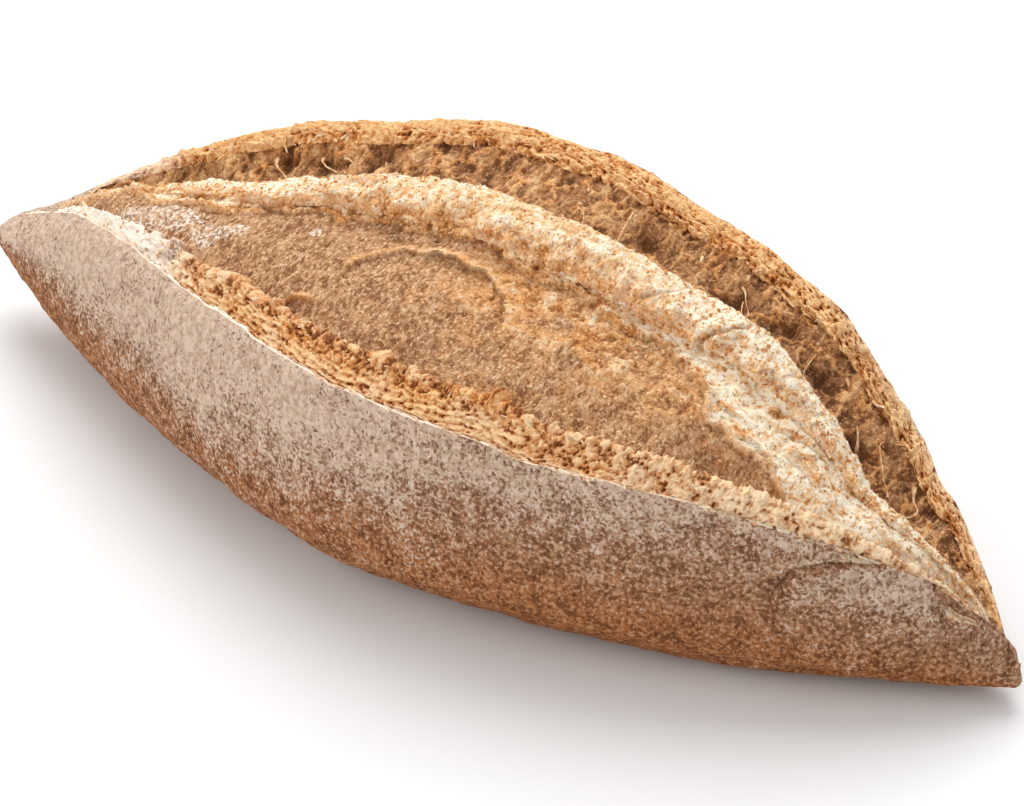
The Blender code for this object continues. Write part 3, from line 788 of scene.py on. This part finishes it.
for place, half_size in FLOUR_SPOTS:
    powdered = powdered + 1.3 * bell(away(x, y, place, half_size), 0, 0.8)
# The relief mark is painted light and shade: darker where the dashes, rubble and pocks sink, lighter where
# they rise and on the flap's lip, and, as painted light, paler on the creamy crumb towards the right end.
relief = 0.50 + 0.26 * dashes * (1 - 0.5 * rubbly) + 0.65 * rubbly * rubble - 0.3 * pocks
relief = relief + 0.45 * flap_lip + 0.2 * curl + 0.22 * rubbly + 0.20 * creamy * smooth(50, 90, x)
burst_marks = crumb_marks(
    rail,
    relief=relief,
    golden=golden,
    creamy=creamy * (1 - 0.85 * on_lip),
    toasted=toasted * (0.7 + 0.6 * drift(points, 5, SEED + 88)),
    shaded=shaded,
    powdered=powdered,
)
near_burst = slab("near_burst_crumb", burst_points, BURST_DEPTH, burst_marks)


def crumb_finish(name, dark, middle, light, freckles=0.6):
    """Baked crumb skin: mottled, with painted shade in its wrinkles and painted light where it stands up,
    bran flecks, golden rubble and loose flour.
    """
    crumb = Finish(name, 0.85)
    grain = crumb.noise(0.7, 3, 0.75)
    streaks = crumb.noise(1.0, 2, 0.6, (0.75, 1.5, 1.5))
    blotches = crumb.noise(6.0, 3, 0.6)
    lumps = crumb.crumbs(1.3)
    relief = crumb.mark("relief")
    level = crumb.add((relief, 1.0), (grain, 1.2), (blotches, 0.5), (lumps, 0.6), (1.0, -0.97))
    body = crumb.grade(dark, middle, level, 0.14, 0.48)
    body = crumb.grade(body, light, level, 0.50, 0.88)
    body = crumb.grade(body, dark, streaks, 0.40, 0.37, 0.9)
    body = crumb.grade(body, light, streaks, 0.61, 0.64, 0.8)
    rich = crumb.grade((146, 88, 44), (224, 164, 106), level, 0.05, 0.50)
    rich = crumb.grade(rich, (254, 222, 174), level, 0.50, 0.95)
    body = crumb.mix(crumb.mark("golden"), body, rich)
    cream = crumb.grade((196, 128, 70), (246, 208, 160), level, 0.06, 0.38)
    cream = crumb.grade(cream, (255, 243, 218), level, 0.38, 0.80)
    flecks = crumb.add((crumb.noise(1.1, 3, 0.75), 1.0), (blotches, 0.4))
    cream = crumb.grade(cream, (234, 170, 108), flecks, 0.74, 0.81, 0.75)
    body = crumb.mix(crumb.mark("creamy"), body, cream)
    toast = crumb.grade((190, 112, 50), (240, 174, 100), grain, 0.38, 0.62)
    body = crumb.mix(crumb.mark("toasted"), body, toast)
    bran = crumb.noise(1.3, 2, 0.6, (0.8, 1.3, 1.3))
    body = crumb.grade(body, (148, 88, 42), bran, 0.59, 0.66, freckles)
    body = crumb.mix(crumb.add((crumb.mark("shaded"), 0.75)), body, (92, 52, 26))
    flour = crumb.add((crumb.mark("powdered"), 0.5), (crumb.noise(1.1, 4, 0.8), 1.25))
    body = crumb.grade(body, (248, 234, 220), flour, 1.10, 1.20, 0.85)
    return crumb.finish(body, crumb.add((grain, 1.0), (streaks, 0.6), (lumps, 0.5)), 0.5)


wrinkled = crumb_finish("wrinkled_crumb_skin", (128, 84, 50), (192, 146, 104), (232, 196, 156))
ride_with_loaf(near_burst, wrinkled)


# ----------------------------------------------------------------------------
# The ridge: the crest of crumb that stands highest, pale cream, grainy with bran, cracked across in places
# and breaking off towards the near burst in a golden, scalloped edge.
RIDGE_ROWS, RIDGE_STATIONS, RIDGE_DEPTH = 120, 760, 13.0
LUMP_HEIGHT, CRUMB_HEIGHT, COBBLE_HEIGHT, BRINK_HEIGHT = 0.7, 0.40, 0.30, 1.7
SCALLOP_PITCH, SCALLOP_HEIGHT = 4.0, 0.9
# Each crack: where it crosses the middle line, its slant and its depth
RIDGE_CRACKS = ((-6, 0.5, 0.4), (54.2, 1.3, 0.5), (72.4, 1.14, 0.9), (90, 0.8, 0.5))

ridge_rails = np.linspace(RIDGE_FOOT - 0.3, RIDGE_BACK + 0.5, RIDGE_ROWS)
points, normal, rail, t, gap = burst_patch(ridge_rails, RIDGE_STATIONS)
x, y = points[..., 0], points[..., 1]
cobbles = 0.55 - np.clip(holes(points, 1.6, SEED + 89), 0, 0.8)
lumps = rough(points, 6, SEED + 85, 3)
crumbs = rough(points, 1.8, SEED + 81, 3)
brink = bell(rail, RIDGE_FOOT + 0.8, 0.7)
frayed = np.clip(rough(points, (5, 9, 9), SEED + 93, 3) + 0.3, -0.3, 2)
cracks = 0.0
for crack_x, slant, depth in RIDGE_CRACKS:
    line = x - crack_x - slant * y + 1.6 * drift(points, 4, SEED + 95)
    cracks = cracks + depth * (bell(line, 0, 0.6) - 0.5 * bell(line, 1.2, 0.6)) * bell(y, -2, 6)
terraces, lips, below = scallops(points, SCALLOP_PITCH, SEED + 94)
in_front = (1 - smooth(8.6, 9.6, rail)) * gap
height = COBBLE_HEIGHT * cobbles + LUMP_HEIGHT * lumps + CRUMB_HEIGHT * crumbs - cracks * gap
height = height + BRINK_HEIGHT * brink * frayed * gap + SCALLOP_HEIGHT * terraces * in_front
height = height - dive(rail, RIDGE_FOOT + 0.1, RIDGE_BACK + 0.1)
ridge_points = raised(points, normal, height, t)
ridge_points[..., 1] -= 1.5 * brink * frayed * gap
ridge_points = uneven(ridge_points)
ragged = rough(points, 3.2, SEED + 97, 3)
golden_foot = bell(rail, RIDGE_FOOT + 0.3, 1.0 + 0.5 * np.clip(ragged, -1, 1))
cracked = np.clip(cracks, 0, 1) * gap
on_brink = bell(rail, RIDGE_FOOT + 0.55 + 0.25 * ragged, 0.22) * gap
# The relief mark is painted light and shade: lighter on the cobbles and crumbs that stand up, darker
# between them. It is paler towards the right end as painted light, and towards the left end.
paler = 0.34 * smooth(35, 75, x) + 0.28 * smooth(-30, -50, x)
creamy = 1.5 + 0.5 * smooth(55, 85, x) - 0.9 * golden_foot - 0.6 * cracked
ridge_marks = crumb_marks(
    rail,
    relief=0.60 + 0.34 * cobbles + 0.34 * crumbs + paler,
    golden=1,
    creamy=creamy - 0.25 * smooth(0.4, 0.8, ragged),
    toasted=0.50 * lips * in_front + 0.60 * on_brink + 0.5 * cracked,
    shaded=0.8 * cracked + 0.2 * below * in_front,
    powdered=0.5 * smooth(-0.5, -0.75, t),
)
ridge = slab("crumb_ridge", ridge_points, RIDGE_DEPTH, ridge_marks)
pale_crumb = crumb_finish("cream_ridge_crumb", (170, 112, 62), (226, 176, 124), (252, 226, 188), 0.45)
ride_with_loaf(ridge, pale_crumb)


# ----------------------------------------------------------------------------
# The far burst: the valley behind the ridge, a brown crumb skin coloured darker than the near burst as
# painted shade, with folds that hang from the far rim, and with pits where webs of crust tore away.
FAR_ROWS, FAR_STATIONS, FAR_DEPTH = 150, 640, 15.0
PIT_DEPTH, WEB_HEIGHT, FOLD_HEIGHT, CURTAIN_HEIGHT, CREASE_HEIGHT = 3.4, 0.7, 0.35, 0.45, 0.20
# Each pit, as (x, y) and half-sizes
FAR_PITS = (
    ((-79, 27), (3, 2.0)), ((-68, 30), (4, 2.5)), ((-55, 33), (3, 2.5)), ((23, 38), (4, 3.0)),
    ((50, 35), (4, 3.0)), ((64, 34), (4, 3.0)), ((79, 29), (4, 3.0)), ((93, 21), (4, 4.0)),
)

far_rails = np.linspace(RIDGE_BACK - 0.3, FAR_TORN + 0.2, FAR_ROWS)
points, normal, rail, t, gap = burst_patch(far_rails, FAR_STATIONS)
wobble = points + 1.5 * drift(points, 4, SEED + 99)[..., None]
pits = 0.0
for place, half_size in FAR_PITS:
    pits = pits + bell(away(wobble[..., 0], wobble[..., 1], place, half_size), 0, 1)
high_up = smooth(FAR_TORN - 1.6, FAR_TORN - 0.2, rail)
curtains = rough(points, (3.2, 12, 12), SEED + 101, 3)
folds = rough(points, (4, 6, 6), SEED + 103, 4)
creases = rough(points, (1.2, 2.4, 2.4), SEED + 105, 3)
webs = smooth(0.80, 1.0, 1 - np.abs(rough(points, (4, 6, 6), SEED + 109, 3)))
webs = webs * smooth(RIDGE_BACK + 0.5, RIDGE_BACK + 1.8, rail)
height = FOLD_HEIGHT * folds + CURTAIN_HEIGHT * high_up * curtains + CREASE_HEIGHT * creases
height = height + (WEB_HEIGHT * webs - PIT_DEPTH * np.clip(pits, 0, 1)) * gap
height = height - dive(rail, RIDGE_BACK, FAR_TORN)
far_points = uneven(raised(points, normal, height, t))
# The relief mark is painted light and shade: lighter where the folds, creases and webs stand up, darker in
# the pits.
far_marks = crumb_marks(
    rail,
    relief=0.52 + 0.30 * folds + 0.35 * creases + 0.3 * webs - 0.3 * pits,
    golden=0.9 * webs + 0.6 * high_up * smooth(-0.2, 0.6, curtains),
    creamy=0,
    toasted=0.6 * webs * gap,
    shaded=1.1 * pits - 0.2,
    powdered=0,
)
far_burst = slab("far_burst_crumb", far_points, FAR_DEPTH, far_marks)
# Painted shade: the same crumb as the near burst in darker colours, for the valley in shadow.
valley_crumb = crumb_finish("shaded_valley_crumb", (96, 58, 30), (154, 106, 68), (198, 150, 104))
ride_with_loaf(far_burst, valley_crumb)


# ----------------------------------------------------------------------------
# The torn far rim: the far edge of the crust, torn into stacked orange layers with a ragged top. It's a
# closed slab as the near one is, netted with thin webs of crust.
FAR_RIM_ROWS, FAR_RIM_STATIONS = 92, 1050

far_rim_rails = np.linspace(FAR_TORN - 0.05, FAR_LIP, FAR_RIM_ROWS)
points, normal, rail, t, gap = burst_patch(far_rim_rails, FAR_RIM_STATIONS)
along, inward = points[..., 0], far_lip(t)[0] - points[..., 1]
layers, light = torn_layers(1.1 * along, inward, SEED + 121)
sheet = laid_flat(along, inward)
spikes = np.clip(rough(sheet, (3.0, 6, 1), SEED + 131, 3) + 0.2, 0, 2) ** 1.5
inner = smooth(0, 0.25, FAR_LIP - rail)
crumbly = rough(sheet, 2.2, SEED + 133, 4, 0.75)
net = smooth(0.80, 0.98, 1 - np.abs(rough(sheet, (7, 3.2, 1), SEED + 137, 3)))
height = 0.7 * layers + 0.60 * crumbly + 0.5 * net + 0.6 * spikes * bell(rail, FAR_TORN + 0.8, 0.6) * gap
height = height * inner * (0.6 + 0.4 * gap) + 0.45 * spikes * bell(rail, FAR_LIP - 0.35, 0.25) * gap
height = height - EDGE_DROP * (1 - smooth(rail[0, 0], FAR_TORN + 0.06, rail))
far_rim_points = raised(points, normal, height, t)
far_rim_points[..., 1] -= 0.5 * layers * inner * gap
far_rim_points = uneven(far_rim_points)
# The relief mark is painted light and shade: lighter where the layers, crumbs and net stand up, darker
# where they sink, and lighter towards the left end.
torn_relief = 0.45 + 0.14 * smooth(-0.1, -0.4, t) + 0.55 * light + 0.40 * crumbly + 0.36 * net
far_rim_marks = {
    "relief": np.clip(torn_relief, 0, 0.88),
    "edge": 0.42 * smooth(-0.58, -0.76, t),
    "browned": 0.85 - 0.60 * smooth(0.25, 0.6, t) * smooth(FAR_TORN + 0.6, FAR_LIP, rail),
}
far_rim = slab("torn_far_rim", far_rim_points, SLAB_DEPTH, far_rim_marks)
ride_with_loaf(far_rim, torn_finish("torn_far_layers", (112, 66, 34), (212, 158, 106), (250, 222, 184)))


# ----------------------------------------------------------------------------
# Gluten strands: thin threads of dough that stretched across the valley as the cut opened and baked golden.
# They hang from the far rim down to the valley's floor, thicker where they hold on.
STRANDS, STRAND_RINGS, STRAND_SIDES = 16, 15, 7
STRAND_RADIUS = (0.12, 0.24)
# How many half waves a strand sways in, and by how much at most
STRAND_SWAY = ((1, 1.9), (2, 1.3), (3, 0.7), (5, 0.35))

draw = np.random.default_rng(SEED + 321)
station = draw.integers(90, FAR_STATIONS - 60, STRANDS)
upper_row = draw.integers(int(0.74 * FAR_ROWS), int(0.92 * FAR_ROWS), STRANDS)
lower_row = draw.integers(int(0.44 * FAR_ROWS), int(0.66 * FAR_ROWS), STRANDS)
start = far_points[upper_row, station]
end = far_points[lower_row, station + draw.integers(4, 30, STRANDS)]
s = np.linspace(0, 1, STRAND_RINGS)[None, :, None]
path = start[:, None] * (1 - s) + end[:, None] * s
for waves, most in STRAND_SWAY:
    path = path + draw.uniform(-most, most, (STRANDS, 1, 3)) * np.sin(waves * np.pi * s)
run = unit(np.gradient(path, axis=1))
first = unit(np.cross(run, [1.0, 0, 0]))
second = np.cross(run, first)
angle = np.arange(STRAND_SIDES) / STRAND_SIDES * 2 * np.pi
radius = draw.uniform(*STRAND_RADIUS, (STRANDS, 1, 1)) * (1 + 2.2 * (2 * s - 1) ** 4)
spoke = first[:, :, None] * np.cos(angle)[:, None] + second[:, :, None] * np.sin(angle)[:, None]
corners = path[:, :, None] + radius[..., None] * spoke
index = np.arange(STRANDS * STRAND_RINGS * STRAND_SIDES).reshape(STRANDS, STRAND_RINGS, STRAND_SIDES)
beside = np.roll(index, -1, 2)
sides = np.stack([index[:, :-1], beside[:, :-1], beside[:, 1:], index[:, 1:]], -1).reshape(-1, 4)
strands = write_piece("gluten_strands", corners.reshape(-1, 3), [sides, index[:, 0, ::-1], index[:, -1]])

stringy = Finish("golden_gluten_strand", 0.7)
thread = stringy.grade((206, 146, 88), (250, 220, 176), stringy.noise(1.2, 3, 0.7), 0.35, 0.65)
ride_with_loaf(strands, stringy.finish(thread, stringy.noise(0.6, 3, 0.7), 0.15))


# ----------------------------------------------------------------------------
# Torn flakes: thin curled shreds of baked crust that stand off both torn rims, cream to orange. Each is a
# closed plate a seventh of a millimetre thick, held at one end.
FLAKES_NEAR, FLAKES_FAR = 420, 260
FLAKE_LENGTH, FLAKE_WIDTH, FLAKE_THICKNESS, FLAKE_SINK = (1.0, 2.8), (0.3, 0.8), 0.14, 0.12


def pick(grid, weight, count, seed):
    """Seeded picks among a grid's points, likelier by weight: the points, their normals and the draw."""
    draw = np.random.default_rng(seed)
    weight = np.clip(weight, 0, None).ravel()
    chosen = draw.choice(weight.size, count, replace=False, p=weight / weight.sum())
    return grid.reshape(-1, 3)[chosen], outward(grid).reshape(-1, 3)[chosen], draw


def turned(normal, turn, tilt):
    """Frames whose third axis is the normal: turned about it, then tipped up about the second axis."""
    first = unit(np.cross([0, 1, 0], normal))
    second = np.cross(normal, first)
    along = first * np.cos(turn)[:, None] + second * np.sin(turn)[:, None]
    across = np.cross(normal, along)
    tipped = along * np.cos(tilt)[:, None] + normal * np.sin(tilt)[:, None]
    return np.stack([tipped, across, np.cross(tipped, across)], -1)


def strew(name, shape, faces, spots, frames, sizes, shake, draw, marks):
    """Copies of a small shape, each stretched, turned and with its corners shaken, joined in one mesh."""
    shaken = shape + shake * draw.uniform(-1, 1, (len(spots),) + shape.shape)
    corners = spots[:, None] + np.einsum("nij,nvj->nvi", frames, shaken * sizes[:, None])
    shift = (np.arange(len(spots)) * len(shape))[:, None, None]
    joined = (faces[None] + shift).reshape(-1, faces.shape[1])
    full = {mark: np.repeat(values, len(shape)) for mark, values in marks.items()}
    return write_piece(name, corners.reshape(-1, 3), [joined], full)


def curled_plate(columns, rows):
    """A thin closed plate one long and one wide, bent up at its free end by the square of the distance."""
    u, v = np.meshgrid(np.linspace(0, 1, columns), np.linspace(-0.5, 0.5, rows), indexing="ij")
    narrowing = 1 - 0.45 * u**2
    top = np.stack([u, v * narrowing, 0.5 + 1.6 * u**2 - 2.0 * v**2], -1).reshape(-1, 3)
    index = np.arange(columns * rows).reshape(columns, rows)
    quads = np.stack([index[:-1, :-1], index[1:, :-1], index[1:, 1:], index[:-1, 1:]], -1).reshape(-1, 4)
    rim = np.concatenate([index[:, 0], index[-1, 1:], index[-2::-1, -1], index[0, -2:0:-1]])
    after = np.roll(rim, -1)
    below = columns * rows
    walls = np.stack([rim, rim + below, after + below, after], -1)
    under = quads[:, [0, 3, 2, 1]] + below
    return np.concatenate([top, top - [0, 0, 1]]), np.concatenate([quads, under, walls])


rail = rim_rails[:, None]
weight = (0.25 + bell(rail, CREST, 0.5)) * (rail > 0.6) * (rail < NEAR_FOOT - 0.3)
weight = weight * opening(cut_places(RIM_STATIONS)) ** 3
near_spots, near_normals, draw = pick(rim_points, weight, FLAKES_NEAR, SEED + 301)
rail = far_rim_rails[:, None]
weight = (rail > FAR_TORN + 0.15) * (rail < FAR_LIP - 1.1) * opening(cut_places(FAR_RIM_STATIONS))
far_spots, far_normals, _ = pick(far_rim_points, weight, FLAKES_FAR, SEED + 302)
spots = np.concatenate([near_spots, far_spots])
normals = np.concatenate([near_normals, far_normals])
count = len(spots)
towards = draw.choice([0.0, np.pi], count) + draw.normal(0, 0.4, count)
length = draw.uniform(*FLAKE_LENGTH, count) * draw.uniform(0.6, 1.0, count)
sizes = np.stack([length, draw.uniform(*FLAKE_WIDTH, count), np.full(count, FLAKE_THICKNESS)], -1)
shape, faces = curled_plate(5, 3)
frames = turned(normals, towards, draw.uniform(-0.12, 0.22, count))
tones = {"tone": draw.uniform(0, 1, count)}
flakes = strew("torn_flakes", shape, faces, spots - FLAKE_SINK * normals, frames, sizes, 0.14, draw, tones)

flaky = Finish("thin_baked_flake", 0.75)
tone = flaky.add((flaky.mark("tone"), 0.8), (flaky.noise(0.7, 3, 0.7), 0.6), (1.0, -0.2))
shred = flaky.grade((196, 128, 68), (232, 176, 114), tone, 0.0, 0.4)
shred = flaky.grade(shred, (254, 232, 196), tone, 0.35, 0.85)
ride_with_loaf(flakes, flaky.finish(shred, flaky.noise(0.5, 3, 0.7), 0.2))


# ----------------------------------------------------------------------------
# Crumb grains: small half-buried grains of crumb on the ridge and in the golden rubble below it. Each is a
# shaken ball of twenty triangles.
RIDGE_GRAINS, BURST_GRAINS = 3000, 900
GRAIN_SIZE = (0.16, 0.40)

golden_ratio = (1 + 5**0.5) / 2
ring = [(0, a, b * golden_ratio) for a in (-1, 1) for b in (-1, 1)]
ball = unit(np.array([np.roll(corner, turn) for turn in range(3) for corner in ring], float))
gaps = np.linalg.norm(ball[:, None] - ball[None], axis=-1)
near_pairs = (gaps > 0) & (gaps < 1.2)
i, j, k = np.stack(np.meshgrid(*[np.arange(12)] * 3, indexing="ij")).reshape(3, -1)
touching = (i < j) & (j < k) & near_pairs[i, j] & near_pairs[j, k] & near_pairs[i, k]
triples = np.stack([i, j, k], -1)[touching]
facing = np.linalg.det(ball[triples])
ball_faces = np.where(facing[:, None] > 0, triples, triples[:, ::-1])

rail = ridge_rails[:, None]
weight = (0.35 + 1.5 * bell(rail, RIDGE_FOOT + 0.9, 0.7)) * (np.abs(rail - 9.2) < 2.7)
weight = weight * opening(cut_places(RIDGE_STATIONS))
on_ridge, up_ridge, draw = pick(ridge_points, weight, RIDGE_GRAINS, SEED + 311)
weight = (burst_marks["golden"] + burst_marks["creamy"]) * opening(cut_places(BURST_STATIONS)) + 0.01
on_burst, up_burst, _ = pick(burst_points, weight, BURST_GRAINS, SEED + 312)
spots, normals = np.concatenate([on_ridge, on_burst]), np.concatenate([up_ridge, up_burst])
count = len(spots)
sizes = draw.uniform(*GRAIN_SIZE, count)[:, None] * draw.uniform(0.6, 1.6, (count, 3))
frames = turned(normals, draw.uniform(0, 6.28, count), draw.uniform(-1, 1, count))
tones = {"tone": draw.uniform(0, 1, count)}
grains = strew("crumb_grains", ball, ball_faces, spots, frames, sizes, 0.18, draw, tones)

grainy = Finish("crumb_grain", 0.85)
tone = grainy.add((grainy.mark("tone"), 1.0), (grainy.noise(0.6, 3, 0.7), 0.4), (1.0, -0.2))
kernel = grainy.grade((190, 122, 64), (232, 176, 116), tone, 0.0, 0.35)
kernel = grainy.grade(kernel, (244, 206, 152), tone, 0.35, 0.9)
ride_with_loaf(grains, grainy.finish(kernel, grainy.noise(0.4, 3, 0.7), 0.2))


# ----------------------------------------------------------------------------
# The table, the light and the camera: a pale floor, a broad soft light from above and behind, a weak one
# from the front left, and a white room. The camera looks down at the long side from the right.
FLOOR_HALF, FLOOR_GREY = 3000.0, 238.614
LIGHT_SIZE, LIGHT_TARGET = 900, (0, 0, 30)
OVERHEAD_PLACE, OVERHEAD_WATTS = (-250, 420, 900), 9.0
FRONT_PLACE, FRONT_WATTS = (-280, -950, 560), 4.2
ROOM_LIGHT = 0.64
CAMERA_AZIMUTH, CAMERA_ELEVATION, CAMERA_DISTANCE = 35.56, 33.0, 1100.0
CAMERA_TARGET = (9.72, 0.0, 28.66)
LENS, SENSOR, CLIP_END = 163.36, 36.0, 20.0

floor_corners = FLOOR_HALF * np.array([(-1, -1, 0), (1, -1, 0), (1, 1, 0), (-1, 1, 0)])
floor = write_piece("floor", floor_corners, [np.array([[0, 1, 2, 3]])])
pale = Finish("pale_floor", 0.9)
floor.data.materials.append(pale.finish((FLOOR_GREY,) * 3, pale.noise(4.0), 0.02))


def aim(holder, place, target):
    """Puts a light or camera at a place in mm, its -Z axis towards a target."""
    place, target = np.array(place, float), np.array(target, float)
    back = unit(place - target)
    side = unit(np.cross((0, 0, 1), back))
    matrix = np.eye(4)
    matrix[:3] = np.stack([side, np.cross(back, side), back, place * MM], 1)
    holder.matrix_world = Matrix(matrix.tolist())


def soft_light(name, place, watts):
    """A square area light aimed at the loaf."""
    lamp = bpy.data.lights.new(name, "AREA")
    lamp.shape, lamp.size, lamp.energy = "SQUARE", LIGHT_SIZE * MM, watts
    holder = bpy.data.objects.new(name, lamp)
    bpy.context.scene.collection.objects.link(holder)
    aim(holder, place, LIGHT_TARGET)


soft_light("overhead", OVERHEAD_PLACE, OVERHEAD_WATTS)
soft_light("front_fill", FRONT_PLACE, FRONT_WATTS)

room = bpy.data.worlds.new("white_room")
room.use_nodes = True
room.node_tree.nodes["Background"].inputs["Color"].default_value = (1, 1, 1, 1)
room.node_tree.nodes["Background"].inputs["Strength"].default_value = ROOM_LIGHT
bpy.context.scene.world = room
bpy.context.scene.view_settings.view_transform = "Standard"

camera = bpy.data.cameras.new("camera")
camera.lens, camera.sensor_width, camera.clip_end = LENS, SENSOR, CLIP_END
holder = bpy.data.objects.new("camera", camera)
bpy.context.scene.collection.objects.link(holder)
turn, lift = np.radians(CAMERA_AZIMUTH), np.radians(CAMERA_ELEVATION)
back = np.array([np.sin(turn) * np.cos(lift), -np.cos(turn) * np.cos(lift), np.sin(lift)])
aim(holder, np.array(CAMERA_TARGET) + CAMERA_DISTANCE * back, CAMERA_TARGET)
bpy.context.scene.camera = holder
